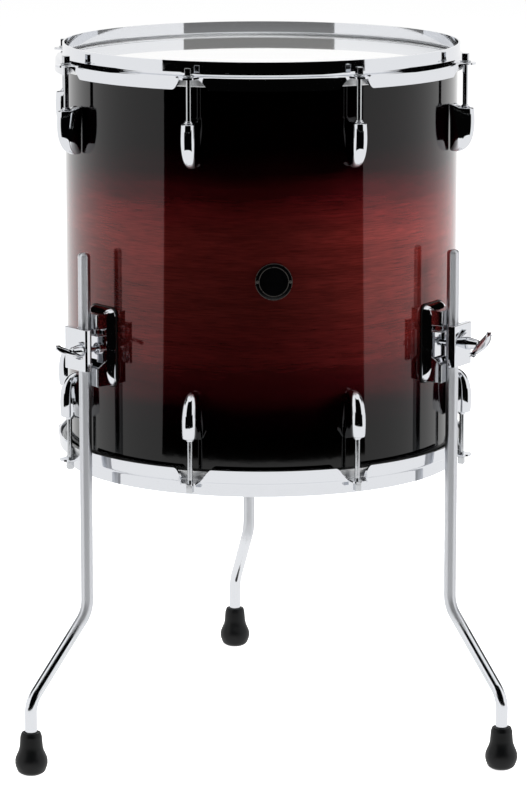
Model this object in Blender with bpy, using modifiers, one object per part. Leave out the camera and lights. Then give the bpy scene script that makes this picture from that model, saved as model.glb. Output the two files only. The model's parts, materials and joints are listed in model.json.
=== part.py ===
"""Floor tom, 16 by 16 inches: a lacquered maple shell with two heads, on three bent legs.

Metres, +Z up. The origin is on the floor, under the middle of the whole drum's outline, and the badge
faces -Y. Angles around the drum are measured from the badge, positive towards +X. A piece that sits on
the shell is drawn in a frame of its own: +X points away from the drum's axis, +Y runs round the shell
towards larger angles, +Z is up.
"""
from math import asin, atan2, cos, pi, radians, sin, tan

import bmesh
import bpy
from mathutils import Matrix, Vector

INCH = 0.0254
MM = 0.001

# Clearance between pieces that touch on the real drum.
GAP = 0.3 * MM

# Shell
SHELL_DIAMETER = 16 * INCH
SHELL_DEPTH = 16 * INCH
SHELL_WALL = 6.5 * MM
SHELL_LIFT = 306 * MM  # floor to the shell's lower edge
EDGE_BACK_CUT = 2.6 * MM  # from the shell's outside in to the peak of the bearing edge
EDGE_BACK_DROP = 2.2 * MM

# Heads: a film whose collar goes down into a channel, the flesh hoop
FILM = 0.4 * MM
COLLAR_OUTSET = 4.2 * MM  # shell's outside to the collar's outer face
COLLAR_DROP = 7.5 * MM
CHANNEL_WIDTH = 5.2 * MM
CHANNEL_WALL = 1.3 * MM
CHANNEL_HEIGHT = 8.5 * MM
CHANNEL_LIP = 2.2 * MM  # the inner wall stops this far below the outer wall, and the film passes over it
CHANNEL_SPACE = 1.8 * MM  # shell to flesh hoop

# Hoops: an upright wall, a bead on the flesh hoop and a skirt that turns out into ears
HOOP_STEEL = 2.0 * MM
HOOP_SPACE = 0.4 * MM  # the wall's inside stands this far outside the shell
RIM_RISE = 15.6 * MM  # rim above the peak of the bearing edge
SKIRT_SPACE = 0.8 * MM
SKIRT_DROP = 12.6 * MM
EAR_HALF_WIDTH = 6.0 * MM
EAR_FOOT_HALF_WIDTH = 16.0 * MM
EAR_MARGIN = 10.5 * MM  # rod axis to the end of the ear

# Tension rods and lugs
LUGS_PER_HEAD = 8
ROD_OUTSET = 16.3 * MM  # rod axis from the shell's outside
ROD_DIAMETER = 5.2 * MM
ROD_ENGAGEMENT = 22.0 * MM  # rod inside the lug
ROD_SQUARE = 6.3 * MM
ROD_HEAD_HEIGHT = 7.5 * MM
WASHER_DIAMETER = 11.0 * MM
WASHER_THICKNESS = 1.3 * MM
EAR_HOLE_SPACE = 0.6 * MM
LUG_EDGE_DISTANCE = 45.0 * MM  # lug's flat end from the shell's edge
LUG_LENGTH = 46.0 * MM
LUG_HALF_WIDTH = 7.9 * MM
LUG_NOSE = 10.7 * MM  # metal in front of the rod's axis
LUG_CREST = 4.0 * MM  # behind the rod's seat the casting rises this much
LUG_SCREW_DEPTHS = (8.0 * MM, 24.0 * MM)  # screws, measured from the flat end
NUT_COLLAR_WALL = 0.7 * MM
NUT_COLLAR_HEIGHT = 2.6 * MM

# Screws that hold the lugs and the brackets from inside the shell
SCREW_DIAMETER = 4.0 * MM
SCREW_HEAD_DIAMETER = 8.4 * MM
SCREW_HEAD_HEIGHT = 2.6 * MM

# Legs: a bent rod, and the angle that each foot is turned out of the radial direction in the photograph
LEG_DIAMETER = 0.5 * INCH
LEG_OUTSET = 24.3 * MM  # leg axis from the shell's outside
LEG_TOP = 528 * MM
LEG_BEND_TOP = 156 * MM
LEG_BEND_LOW = 75 * MM
LEG_SHIFT = 80 * MM
LEG_BEND_RADIUS = 30 * MM
LEG_END_CHAMFER = 1.2 * MM
LEG_PLACES = (
    ("left", radians(-55.3), radians(7.6)),
    ("right", radians(55.3), radians(-19.0)),
    ("rear", radians(180.0), radians(8.4)),
)

# Rubber feet
FOOT_HEIGHT = 44.0 * MM
FOOT_FLOOR = 9.0 * MM  # rubber under the end of the leg
FOOT_WAIST = 12.1 * MM
FOOT_BULB = 16.5 * MM
FOOT_SOLE = 12.0 * MM
FOOT_MOUTH = 9.0 * MM

# Leg brackets
BRACKET_LIFT = 431 * MM  # floor to the middle of the bracket
BRACKET_HEIGHT = 80 * MM
BRACKET_HALF_WIDTH = 21 * MM
FLANGE_THICKNESS = 4.6 * MM
FLANGE_ROUNDING = 2.5 * MM
FLANGE_CORNER = 6.0 * MM
GASKET_THICKNESS = 1.5 * MM
GASKET_MARGIN = 1.0 * MM
ARM_HEIGHT = 20 * MM
ARM_HALF_WIDTH = 16.5 * MM
ARM_FRONT = 3.5 * MM  # the arms' front ends stop this far behind the leg's axis
ARM_ROUNDING = 2.0 * MM
ARM_SLOPE = 13 * MM  # the lower arm's upper end slopes down by this much to its front
NECK_HEIGHT = 5 * MM  # below the upper arm, a narrower neck
NECK_HALF_WIDTH = 7 * MM
LEDGE_THICKNESS = 2 * MM  # below the neck
RIB_HALF_WIDTH = 6 * MM  # upright rib behind the wing bolt
RIB_FRONT = 11 * MM  # the rib's front stops this far behind the leg's axis
BOSS_DIAMETER = 12.5 * MM
BRACKET_SCREW_SPACING = 60 * MM

# Clamp jaws and wing bolts
JAW_HEIGHT = 43 * MM
JAW_THICKNESS = 7.4 * MM
JAW_INNER_FACE = 5.0 * MM  # in front of the leg's axis
JAW_BOLT_SIDE = 19.0 * MM
JAW_HEEL_SIDE = 18.5 * MM
JAW_ROUNDING = 1.5 * MM
BOLT_DIAMETER = 6.0 * MM
BOLT_SPACE = 1.0 * MM  # between the bolt and the leg
BOLT_REACH = 8.0 * MM  # bolt inside the boss
HUB_DIAMETER = 13.0 * MM
HUB_TIP_DIAMETER = 8.6 * MM
HUB_LENGTH = 12.5 * MM
WING_SPAN = 48.0 * MM
WING_TIPS = 14.0 * MM  # the wings' tips, in front of the jaw
WING_INNER_BOW = 3.0 * MM
WING_OUTER_BOW = 9.0 * MM
WING_THICKNESS = 3.6 * MM
WING_TURNS = {"left": radians(-6), "right": radians(23), "rear": radians(9)}

# Badge
BADGE_DIAMETER = 37 * MM
BADGE_THICKNESS = 1.2 * MM
NAIL_INSET = 2.0 * MM
NAIL_DIAMETER = 1.4 * MM
NAIL_HEAD_DIAMETER = 3.2 * MM
NAIL_HEAD_HEIGHT = 0.8 * MM
NAIL_LENGTH = 5.0 * MM

# Sides of the round pieces
SHELL_SIDES = 64  # the heads have as many, because they follow the bearing edges
CHANNEL_SIDES = 48
FOOT_SIDES = 16
SMALL_SIDES = 8
HOOP_STEPS_BETWEEN_EARS = 5

# Worked out from the sizes above
SHELL_RADIUS = SHELL_DIAMETER / 2
SHELL_INSIDE = SHELL_RADIUS - SHELL_WALL
SHELL_TOP = SHELL_LIFT + SHELL_DEPTH
SHELL_MIDDLE = SHELL_LIFT + SHELL_DEPTH / 2
ROD_RADIUS = ROD_DIAMETER / 2
ROD_CIRCLE = SHELL_RADIUS + ROD_OUTSET
HOOP_INSIDE = SHELL_RADIUS + HOOP_SPACE
HOOP_OUTSIDE = HOOP_INSIDE + HOOP_STEEL
CHANNEL_INSIDE = SHELL_RADIUS + CHANNEL_SPACE
CHANNEL_OUTSIDE = CHANNEL_INSIDE + CHANNEL_WIDTH
SKIRT_INSIDE = CHANNEL_OUTSIDE + SKIRT_SPACE
SKIRT_OUTSIDE = SKIRT_INSIDE + HOOP_STEEL
EAR_END = ROD_CIRCLE + EAR_MARGIN
LEG_RADIUS = LEG_DIAMETER / 2
LEG_CIRCLE = SHELL_RADIUS + LEG_OUTSET
BOLT_RADIUS = BOLT_DIAMETER / 2
BOLT_OFFSET = LEG_RADIUS + BOLT_SPACE + BOLT_RADIUS
JAW_FRONT = JAW_INNER_FACE + JAW_THICKNESS
LUG_STEP = 2 * pi / LUGS_PER_HEAD
LUG_ANGLES = [LUG_STEP * (index + 0.5) for index in range(LUGS_PER_HEAD)]


def around(radius, sides):
    """Corner radius of a polygon with this many sides whose flats stay outside the radius."""
    return radius / cos(pi / sides)


def within(radius, sides):
    """Distance of a polygon's flats from its middle, for corners on the radius."""
    return radius * cos(pi / sides)


def foot_offset(angle, swivel):
    """Where a foot stands, measured from the drum's axis."""
    turn = angle + swivel
    return Vector((LEG_CIRCLE * sin(angle) + LEG_SHIFT * sin(turn),
                   -LEG_CIRCLE * cos(angle) - LEG_SHIFT * cos(turn), 0))


def outline_middle(axis):
    """Middle of the whole drum's outline along X (0) or Y (1), measured from the drum's axis."""
    feet = [foot_offset(angle, swivel)[axis] for _, angle, swivel in LEG_PLACES]
    low = min(min(feet) - FOOT_BULB, -SKIRT_OUTSIDE)
    high = max(max(feet) + FOOT_BULB, SKIRT_OUTSIDE)
    return (low + high) / 2


# The drum's axis stands off the origin, so that the origin is under the middle of the outline.
AXIS_X = -outline_middle(0)
AXIS_Y = -outline_middle(1)


# Scene

def clear_scene():
    for item in list(bpy.data.objects):
        bpy.data.objects.remove(item)


def new_collection(name):
    group = bpy.data.collections.new(name)
    bpy.context.scene.collection.children.link(group)
    return group


def material(name, hex_colour, roughness, metallic):
    shade = bpy.data.materials.new(name)
    shade.use_nodes = True
    channels = [int(hex_colour[i:i + 2], 16) / 255 for i in (0, 2, 4)]
    linear = [c / 12.92 if c <= 0.04045 else ((c + 0.055) / 1.055) ** 2.4 for c in channels]
    surface = shade.node_tree.nodes["Principled BSDF"]
    surface.inputs["Base Color"].default_value = (*linear, 1)
    surface.inputs["Roughness"].default_value = roughness
    surface.inputs["Metallic"].default_value = metallic
    return shade


def add_object(name, data, parent=None, shade=None, group=None):
    item = bpy.data.objects.new(name, data)
    (group or PARTS).objects.link(item)
    item.parent = parent
    if shade and not data.materials:
        data.materials.append(shade)
    return item


def evaluated_mesh(item, name):
    """The object's shape with its modifiers applied, as a mesh of its own."""
    bpy.context.view_layer.update()
    graph = bpy.context.evaluated_depsgraph_get()
    mesh = bpy.data.meshes.new_from_object(item.evaluated_get(graph))
    mesh.name = name
    return mesh


def bake(item):
    """Applies an object's modifiers."""
    mesh = evaluated_mesh(item, item.name)
    item.modifiers.clear()
    item.data = mesh
    return item


def smooth(mesh, angle=radians(35)):
    mesh.shade_smooth()
    mesh.set_sharp_from_angle(angle=angle)


# Shapes

def mesh_from(name, bm):
    mesh = bpy.data.meshes.new(name)
    bmesh.ops.recalc_face_normals(bm, faces=bm.faces[:])
    bm.to_mesh(mesh)
    bm.free()
    return mesh


def box_mesh(name, low, high):
    bm = bmesh.new()
    bmesh.ops.create_cube(bm, size=1)
    size = [high[i] - low[i] for i in range(3)]
    middle = [(high[i] + low[i]) / 2 for i in range(3)]
    bmesh.ops.scale(bm, vec=size, verts=bm.verts[:])
    bmesh.ops.translate(bm, vec=middle, verts=bm.verts[:])
    return mesh_from(name, bm)


def add_cylinder(bm, radius, start, end, sides, top_radius=None, turn=0.0):
    """Adds a cylinder or cone from start to end, with a corner on the local X axis."""
    start, end = Vector(start), Vector(end)
    along = end - start
    aim = along.to_track_quat("Z", "Y").to_matrix().to_4x4()
    place = Matrix.Translation((start + end) / 2) @ aim @ Matrix.Rotation(turn, 4, "Z")
    bmesh.ops.create_cone(bm, cap_ends=True, segments=sides, radius1=radius,
                          radius2=radius if top_radius is None else top_radius,
                          depth=along.length, matrix=place)


def plate_mesh(name, low, high, corner):
    """A box with rounded corners, as seen along X."""
    mesh = box_mesh(name, low, high)
    bm = bmesh.new()
    bm.from_mesh(mesh)
    corners = [edge for edge in bm.edges if abs(edge.verts[0].co.x - edge.verts[1].co.x) > GAP]
    bmesh.ops.bevel(bm, geom=corners, offset=corner, segments=3, profile=0.5, affect="EDGES")
    bm.to_mesh(mesh)
    bm.free()
    return mesh


def cylinder_mesh(name, radius, start, end, sides, top_radius=None, turn=0.0):
    bm = bmesh.new()
    add_cylinder(bm, radius, start, end, sides, top_radius, turn)
    return mesh_from(name, bm)


def turned_mesh(name, profile, sides, closed):
    """Turns a profile of (radius, height) about Z. It runs down the outer side, top to bottom."""
    mesh = bpy.data.meshes.new(name)
    edges = [(i, i + 1) for i in range(len(profile) - 1)]
    if closed:
        edges.append((len(profile) - 1, 0))
    mesh.from_pydata([(radius, 0, height) for radius, height in profile], edges, [])
    blank = add_object(name, mesh, group=CUTTERS)
    screw = blank.modifiers.new("turn", "SCREW")
    screw.angle = 2 * pi
    screw.steps = sides
    screw.render_steps = sides
    screw.use_merge_vertices = True
    screw.merge_threshold = 0.00001
    result = evaluated_mesh(blank, name)
    bpy.data.objects.remove(blank)
    return result


def loft_mesh(name, sections, ring):
    """Joins sections with the same number of points. A ring's last section meets its first."""
    bm = bmesh.new()
    rows = [[bm.verts.new(point) for point in section] for section in sections]
    count = len(rows[0])
    pairs = list(zip(rows, rows[1:]))
    if ring:
        pairs.append((rows[-1], rows[0]))
    for here, there in pairs:
        for i in range(count):
            j = (i + 1) % count
            bm.faces.new((here[i], here[j], there[j], there[i]))
    if not ring:
        bm.faces.new(rows[0])
        bm.faces.new(rows[-1])
    return mesh_from(name, bm)


def bevel(item, width, segments=1, angle=radians(30)):
    step = item.modifiers.new("round", "BEVEL")
    step.width = width
    step.segments = segments
    step.limit_method = "ANGLE"
    step.angle_limit = angle
    return item


def boolean(item, mesh, operation="DIFFERENCE", matrix=None):
    """Cuts or joins a mesh, drawn in the object's own frame, and applies the result."""
    tool = add_object(item.name + "_" + mesh.name, mesh, group=CUTTERS)
    tool.matrix_world = item.matrix_world @ (matrix or Matrix())
    tool.hide_render = True
    tool.display_type = "WIRE"
    step = item.modifiers.new("cut", "BOOLEAN")
    step.object = tool
    step.operation = operation
    step.solver = "EXACT"
    bake(item)
    bpy.data.objects.remove(tool)
    return item


def wrap_on_shell(mesh, radius, strips):
    """Bends a flat plate round the drum. The plate lies in the YZ plane, its thickness along X."""
    bm = bmesh.new()
    bm.from_mesh(mesh)
    half = max(vertex.co.y for vertex in bm.verts)
    for index in range(1, strips):
        side = half * (2 * index / strips - 1)
        bmesh.ops.bisect_plane(bm, geom=bm.verts[:] + bm.edges[:] + bm.faces[:], dist=0.000001,
                               plane_co=(0, side, 0), plane_no=(0, 1, 0))
    for vertex in bm.verts:
        turn = vertex.co.y / radius
        reach = radius + vertex.co.x
        vertex.co.x = reach * cos(turn) - SHELL_RADIUS
        vertex.co.y = reach * sin(turn)
    bm.to_mesh(mesh)
    bm.free()
    return mesh


def place_on_drum(item, radius, angle, height, upside_down=False):
    """Stands a piece at an angle round the drum, its own +X pointing away from the axis."""
    item.location = (radius * sin(angle), -radius * cos(angle), height)
    item.rotation_euler = (pi if upside_down else 0, 0, angle - pi / 2)
    return item


# Shell

def shell_profile():
    peak = SHELL_RADIUS - EDGE_BACK_CUT
    inner_drop = peak - SHELL_INSIDE
    top = SHELL_DEPTH
    return [
        (SHELL_RADIUS, top - EDGE_BACK_DROP),
        (SHELL_RADIUS, EDGE_BACK_DROP),
        (peak, 0),
        (SHELL_INSIDE, inner_drop),
        (SHELL_INSIDE, top - inner_drop),
        (peak, top),
    ]


def screw_places():
    """Angle and height of every hole for a screw through the shell."""
    places = []
    for angle in LUG_ANGLES:
        for depth in LUG_SCREW_DEPTHS:
            places.append((angle, SHELL_LIFT + LUG_EDGE_DISTANCE + depth))
            places.append((angle, SHELL_TOP - LUG_EDGE_DISTANCE - depth))
    for _, angle, _ in LEG_PLACES:
        for side in (-1, 1):
            places.append((angle, BRACKET_LIFT + side * BRACKET_SCREW_SPACING / 2))
    return places


def build_shell(parent):
    shell = add_object("shell", turned_mesh("shell", shell_profile(), SHELL_SIDES, True), parent,
                       LACQUER)
    shell.location.z = SHELL_LIFT
    holes = bmesh.new()
    inner = SHELL_INSIDE - 2 * SCREW_HEAD_HEIGHT
    outer = SHELL_RADIUS + 2 * SCREW_HEAD_HEIGHT
    screw_hole = around(SCREW_DIAMETER / 2 + GAP, SMALL_SIDES)
    for angle, height in screw_places():
        out = Vector((sin(angle), -cos(angle), 0))
        level = Vector((0, 0, height - SHELL_LIFT))
        add_cylinder(holes, screw_hole, out * inner + level, out * outer + level, SMALL_SIDES)
    nail_hole = around(NAIL_DIAMETER / 2 + GAP, SMALL_SIDES)
    for side in (-1, 1):
        start = Vector((side * nail_distance(), -SHELL_RADIUS - NAIL_LENGTH, SHELL_DEPTH / 2))
        end = start + Vector((0, 2 * NAIL_LENGTH + GAP, 0))
        add_cylinder(holes, nail_hole, start, end, SMALL_SIDES)
    bpy.context.view_layer.update()
    boolean(shell, mesh_from("holes", holes))
    smooth(shell.data)
    return shell


# Heads and flesh hoops, drawn with the peak of the bearing edge at height 0 and the head above it

def head_profile():
    peak = SHELL_RADIUS - EDGE_BACK_CUT
    bend = SHELL_RADIUS + HOOP_SPACE
    outer = SHELL_RADIUS + COLLAR_OUTSET
    inner = outer - FILM
    fall = EDGE_BACK_DROP / EDGE_BACK_CUT
    bend_height = -fall * (bend - peak) + GAP
    return [
        (0, GAP + FILM),
        (peak, GAP + FILM),
        (bend, bend_height + FILM),
        (outer, bend_height),
        (outer, -COLLAR_DROP),
        (inner, -COLLAR_DROP),
        (inner, bend_height - FILM),
        (bend, bend_height),
        (peak, GAP),
        (0, GAP),
    ]


def channel_top():
    """The flesh hoop's upper edge, under the hoop's bead."""
    return -HOOP_STEEL / 2 - GAP


def flesh_hoop_profile():
    top = channel_top()
    lip = top - CHANNEL_LIP
    bottom = top - CHANNEL_HEIGHT
    floor = bottom + CHANNEL_WALL
    return [
        (CHANNEL_OUTSIDE, top),
        (CHANNEL_OUTSIDE, bottom),
        (CHANNEL_INSIDE, bottom),
        (CHANNEL_INSIDE, lip),
        (CHANNEL_INSIDE + CHANNEL_WALL, lip),
        (CHANNEL_INSIDE + CHANNEL_WALL, floor),
        (CHANNEL_OUTSIDE - CHANNEL_WALL, floor),
        (CHANNEL_OUTSIDE - CHANNEL_WALL, top),
    ]


def build_heads(parent):
    film = turned_mesh("head", head_profile(), SHELL_SIDES, False)
    channel = turned_mesh("flesh_hoop", flesh_hoop_profile(), CHANNEL_SIDES, True)
    smooth(film)
    smooth(channel)
    for level, (head, hoop) in enumerate((("resonant_head", "resonant_flesh_hoop"),
                                          ("batter_head", "batter_flesh_hoop"))):
        for name, mesh, shade in ((head, film, HEAD_FILM), (hoop, channel, ALUMINIUM)):
            piece = add_object(name, mesh, parent, shade)
            piece.location.z = SHELL_TOP if level else SHELL_LIFT
            piece.rotation_euler.x = 0 if level else pi


# Hoops

def hoop_section(ear):
    """Outline of the pressing as (radius, height). ear is 0 on the skirt and 1 on an ear."""
    half = HOOP_STEEL / 2
    corner = Vector((SKIRT_INSIDE + half, 0))
    tilt = -pi / 2 * (1 - ear)
    reach = SKIRT_DROP + (EAR_END - corner.x - SKIRT_DROP) * ear
    along = Vector((cos(tilt), sin(tilt)))
    across = Vector((-along.y, along.x)) * half
    end = corner + along * reach
    shoulder = corner + across + along * half / 2
    return [
        (HOOP_INSIDE, RIM_RISE),
        (HOOP_OUTSIDE, RIM_RISE),
        (HOOP_OUTSIDE, half),
        (SKIRT_INSIDE + half * 0.7, half),
        tuple(shoulder),
        tuple(end + across),
        tuple(end - across),
        (SKIRT_INSIDE, -half),
        (HOOP_INSIDE, -half),
    ]


def hoop_stations():
    """Angles round the hoop, each with how far the skirt has turned into an ear there."""
    ear = EAR_HALF_WIDTH / SKIRT_OUTSIDE
    foot = EAR_FOOT_HALF_WIDTH / SKIRT_OUTSIDE
    stations = []
    for angle in LUG_ANGLES:
        stations += [(angle - foot, 0), (angle - (ear + foot) / 2, 0.5), (angle - ear, 1),
                     (angle + ear, 1), (angle + (ear + foot) / 2, 0.5), (angle + foot, 0)]
        free = LUG_STEP - 2 * foot
        for step in range(1, HOOP_STEPS_BETWEEN_EARS):
            stations.append((angle + foot + free * step / HOOP_STEPS_BETWEEN_EARS, 0))
    return stations


def build_hoops(parent):
    sections = [[(radius * sin(angle), -radius * cos(angle), height)
                 for radius, height in hoop_section(ear)] for angle, ear in hoop_stations()]
    top = add_object("top_hoop", loft_mesh("hoop", sections, True), parent, CHROME)
    top.location.z = SHELL_TOP
    bpy.context.view_layer.update()
    holes = bmesh.new()
    reach = 3 * HOOP_STEEL
    for angle in LUG_ANGLES:
        spot = Vector((ROD_CIRCLE * sin(angle), -ROD_CIRCLE * cos(angle), 0))
        add_cylinder(holes, around(ROD_RADIUS + EAR_HOLE_SPACE, SMALL_SIDES),
                     spot - Vector((0, 0, reach)), spot + Vector((0, 0, reach)), SMALL_SIDES)
    boolean(top, mesh_from("rod_holes", holes))
    smooth(top.data)
    bottom = add_object("bottom_hoop", top.data, parent)
    bottom.location.z = SHELL_LIFT
    bottom.rotation_euler.x = pi


# Screws, drawn along -X from the shell's outside

def screw_mesh(name, start):
    """A screw from start, outside the shell, to its head against the shell's inside."""
    seat = within(SHELL_INSIDE, SHELL_SIDES) - SHELL_RADIUS - GAP
    bm = bmesh.new()
    add_cylinder(bm, SCREW_DIAMETER / 2, (start, 0, 0), (seat - SCREW_HEAD_HEIGHT / 2, 0, 0), 6)
    shank = mesh_from(name + "_shank", bm)
    screw = add_object(name, shank, group=CUTTERS)
    head = cylinder_mesh("head", SCREW_HEAD_DIAMETER / 2, (seat, 0, 0),
                         (seat - SCREW_HEAD_HEIGHT, 0, 0), SMALL_SIDES)
    boolean(screw, head, "UNION")
    mesh = screw.data
    bpy.data.objects.remove(screw)
    return mesh


# Lugs: a drop-shaped casting round the rod, drawn from its middle, flat end up

def lug_section(down, deep, wide, back, ridge):
    """One level of the casting: a round front, flanks back to a ridge, and a keel behind the ridge.

    down runs from 0 at the flat end to 1 at the tip. The front's depth, its half width and the keel's
    half width are shares of the lug's own, and ridge is how far forward the ridge stands.
    """
    front = (ROD_OUTSET + LUG_NOSE) * deep
    half = LUG_HALF_WIDTH * wide
    flank = front - min(half, 0.6 * front)
    crest = GAP + ridge * (flank - GAP)
    height = LUG_LENGTH * (0.5 - down)
    rise = LUG_CREST if down == 0 else 0
    side = [
        (front - 0.3 * half, 0.7 * half, height),
        (flank, half, height),
        ((flank + crest) / 2, 0.99 * half, height),
        (crest, 0.97 * half, height + rise),
        (GAP, max(back * LUG_HALF_WIDTH, 0.2 * half), height + 0.8 * rise),
    ]
    return [(front, 0, height)] + side + [(x, -y, z) for x, y, z in reversed(side)]


def lug_body():
    """The casting's surface, with both ends closed by strips from side to side."""
    levels = [
        (0.00, 0.96, 0.92, 0.72, 0.42),
        (0.28, 1.00, 1.00, 0.56, 0.72),
        (0.54, 0.97, 0.97, 0.30, 0.90),
        (0.76, 0.86, 0.82, 0.12, 0.94),
        (0.91, 0.66, 0.60, 0.10, 0.90),
        (1.00, 0.32, 0.30, 0.06, 0.80),
    ]
    bm = bmesh.new()
    rows = [[bm.verts.new(point) for point in lug_section(*level)] for level in levels]
    count = len(rows[0])
    for here, there in zip(rows, rows[1:]):
        for i in range(count):
            j = (i + 1) % count
            bm.faces.new((here[i], here[j], there[j], there[i]))
    for row in (rows[0], rows[-1]):
        bm.faces.new((row[0], row[1], row[-1]))
        for i in range(1, count // 2):
            bm.faces.new((row[i], row[i + 1], row[-i - 1], row[-i]))
    return mesh_from("lug", bm)


def lug_mesh():
    lug = add_object("lug", lug_body(), group=CUTTERS)
    flat_end = LUG_LENGTH / 2
    bore = around(ROD_RADIUS + GAP, SMALL_SIDES)
    collar_top = flat_end + NUT_COLLAR_HEIGHT
    boolean(lug, cylinder_mesh("collar", bore + NUT_COLLAR_WALL,
                               (ROD_OUTSET, 0, flat_end - NUT_COLLAR_HEIGHT),
                               (ROD_OUTSET, 0, collar_top), SMALL_SIDES), "UNION")
    boolean(lug, cylinder_mesh("bore", bore, (ROD_OUTSET, 0, flat_end - ROD_ENGAGEMENT - 2 * GAP),
                               (ROD_OUTSET, 0, collar_top + NUT_COLLAR_HEIGHT), SMALL_SIDES))
    screw = screw_mesh("lug_screw", SCREW_HEAD_HEIGHT)
    for depth in LUG_SCREW_DEPTHS:
        boolean(lug, screw, "UNION", Matrix.Translation((0, 0, flat_end - depth)))
    mesh = lug.data
    mesh.name = "lug"
    bpy.data.objects.remove(lug)
    smooth(mesh, radians(42))
    return mesh


def build_lugs(parent):
    mesh = lug_mesh()
    middle = LUG_EDGE_DISTANCE + LUG_LENGTH / 2
    for index, angle in enumerate(LUG_ANGLES):
        for level, height, turned in (("top", SHELL_TOP - middle, False),
                                      ("bottom", SHELL_LIFT + middle, True)):
            lug = add_object("%s_lug_%d" % (level, index + 1), mesh, parent, CHROME)
            place_on_drum(lug, SHELL_RADIUS, angle, height, turned)


# Tension rods, drawn head up with the ear's face at height 0

def rod_mesh():
    shank_end = -(LUG_EDGE_DISTANCE + HOOP_STEEL / 2 + ROD_ENGAGEMENT)
    washer_top = GAP + WASHER_THICKNESS
    rod = add_object("rod", cylinder_mesh("rod", ROD_RADIUS, (0, 0, shank_end),
                                          (0, 0, washer_top - GAP), SMALL_SIDES), group=CUTTERS)
    washer = cylinder_mesh("washer", WASHER_DIAMETER / 2, (0, 0, GAP), (0, 0, washer_top), SMALL_SIDES)
    boolean(rod, washer, "UNION")
    half = ROD_SQUARE / 2
    head = box_mesh("head", (-half, -half, washer_top - GAP), (half, half, washer_top + ROD_HEAD_HEIGHT))
    boolean(rod, head, "UNION")
    mesh = rod.data
    mesh.name = "tension_rod"
    bpy.data.objects.remove(rod)
    smooth(mesh, radians(50))
    return mesh


def build_rods(parent):
    mesh = rod_mesh()
    face = HOOP_STEEL / 2
    for index, angle in enumerate(LUG_ANGLES):
        for level, height, turned in (("top", SHELL_TOP + face, False),
                                      ("bottom", SHELL_LIFT - face, True)):
            rod = add_object("%s_tension_rod_%d" % (level, index + 1), mesh, parent, CHROME)
            place_on_drum(rod, ROD_CIRCLE, angle, height, turned)


# Badge

def nail_distance():
    return BADGE_DIAMETER / 2 - NAIL_INSET


def build_badge(parent):
    plate = cylinder_mesh("badge", BADGE_DIAMETER / 2, (GAP, 0, 0), (GAP + BADGE_THICKNESS, 0, 0), 24)
    wrap_on_shell(plate, SHELL_RADIUS, 6)
    badge = add_object("badge", plate, parent, BADGE_BLACK)
    place_on_drum(badge, SHELL_RADIUS, 0, SHELL_MIDDLE)
    bpy.context.view_layer.update()
    holes = bmesh.new()
    for side in (-1, 1):
        add_cylinder(holes, around(NAIL_DIAMETER / 2 + GAP, SMALL_SIDES),
                     (-NAIL_LENGTH, side * nail_distance(), 0), (NAIL_LENGTH, side * nail_distance(), 0),
                     SMALL_SIDES)
    boolean(badge, mesh_from("nail_holes", holes))
    smooth(badge.data)
    seat = GAP + BADGE_THICKNESS + GAP
    nail_shape = add_object("nail", cylinder_mesh("nail", NAIL_DIAMETER / 2, (seat - NAIL_LENGTH, 0, 0),
                                                  (seat + GAP, 0, 0), SMALL_SIDES), group=CUTTERS)
    boolean(nail_shape, cylinder_mesh("head", NAIL_HEAD_DIAMETER / 2, (seat, 0, 0),
                                      (seat + NAIL_HEAD_HEIGHT, 0, 0), SMALL_SIDES,
                                      top_radius=NAIL_DIAMETER / 2), "UNION")
    mesh = nail_shape.data
    bpy.data.objects.remove(nail_shape)
    smooth(mesh)
    for name, side in (("badge_nail_left", -1), ("badge_nail_right", 1)):
        nail = add_object(name, mesh, parent, STEEL)
        place_on_drum(nail, SHELL_RADIUS, 0, SHELL_MIDDLE)
        nail.location.x = side * nail_distance()
        nail.location.y += SHELL_RADIUS - (SHELL_RADIUS ** 2 - nail_distance() ** 2) ** 0.5


# Legs and feet, drawn from the leg's upper axis with the foot towards +X, the floor at height 0

def leg_route():
    """Centre line from the top down: straight, a bend out, a slope, a bend back, straight."""
    slope = atan2(LEG_SHIFT, LEG_BEND_TOP - LEG_BEND_LOW)
    setback = LEG_BEND_RADIUS * tan(slope / 2)
    high = LEG_BEND_TOP + setback
    steps = 4
    points = [(0, LEG_TOP, 1 - LEG_END_CHAMFER / LEG_RADIUS), (0, LEG_TOP - LEG_END_CHAMFER, 1)]
    for step in range(steps + 1):
        turn = slope * step / steps
        points.append((LEG_BEND_RADIUS * (1 - cos(turn)), high - LEG_BEND_RADIUS * sin(turn), 1))
    low = LEG_BEND_LOW - setback
    for step in range(steps + 1):
        turn = slope * (1 - step / steps)
        points.append((LEG_SHIFT - LEG_BEND_RADIUS * (1 - cos(turn)), low + LEG_BEND_RADIUS * sin(turn), 1))
    points.append((LEG_SHIFT, FOOT_FLOOR + GAP, 1))
    return points


def leg_mesh():
    route = leg_route()
    curve = bpy.data.curves.new("leg", "CURVE")
    curve.dimensions = "3D"
    curve.bevel_depth = LEG_RADIUS
    curve.bevel_resolution = 4
    curve.use_fill_caps = True
    line = curve.splines.new("POLY")
    line.points.add(len(route) - 1)
    for point, (x, z, size) in zip(line.points, route):
        point.co = (x, 0, z, 1)
        point.radius = size
    wire = add_object("leg", curve, group=CUTTERS)
    mesh = evaluated_mesh(wire, "leg")
    bpy.data.objects.remove(wire)
    weld(mesh)
    smooth(mesh, radians(50))
    return mesh


def weld(mesh):
    bm = bmesh.new()
    bm.from_mesh(mesh)
    bmesh.ops.remove_doubles(bm, verts=bm.verts[:], dist=0.000001)
    bmesh.ops.recalc_face_normals(bm, faces=bm.faces[:])
    bm.to_mesh(mesh)
    bm.free()


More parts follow.
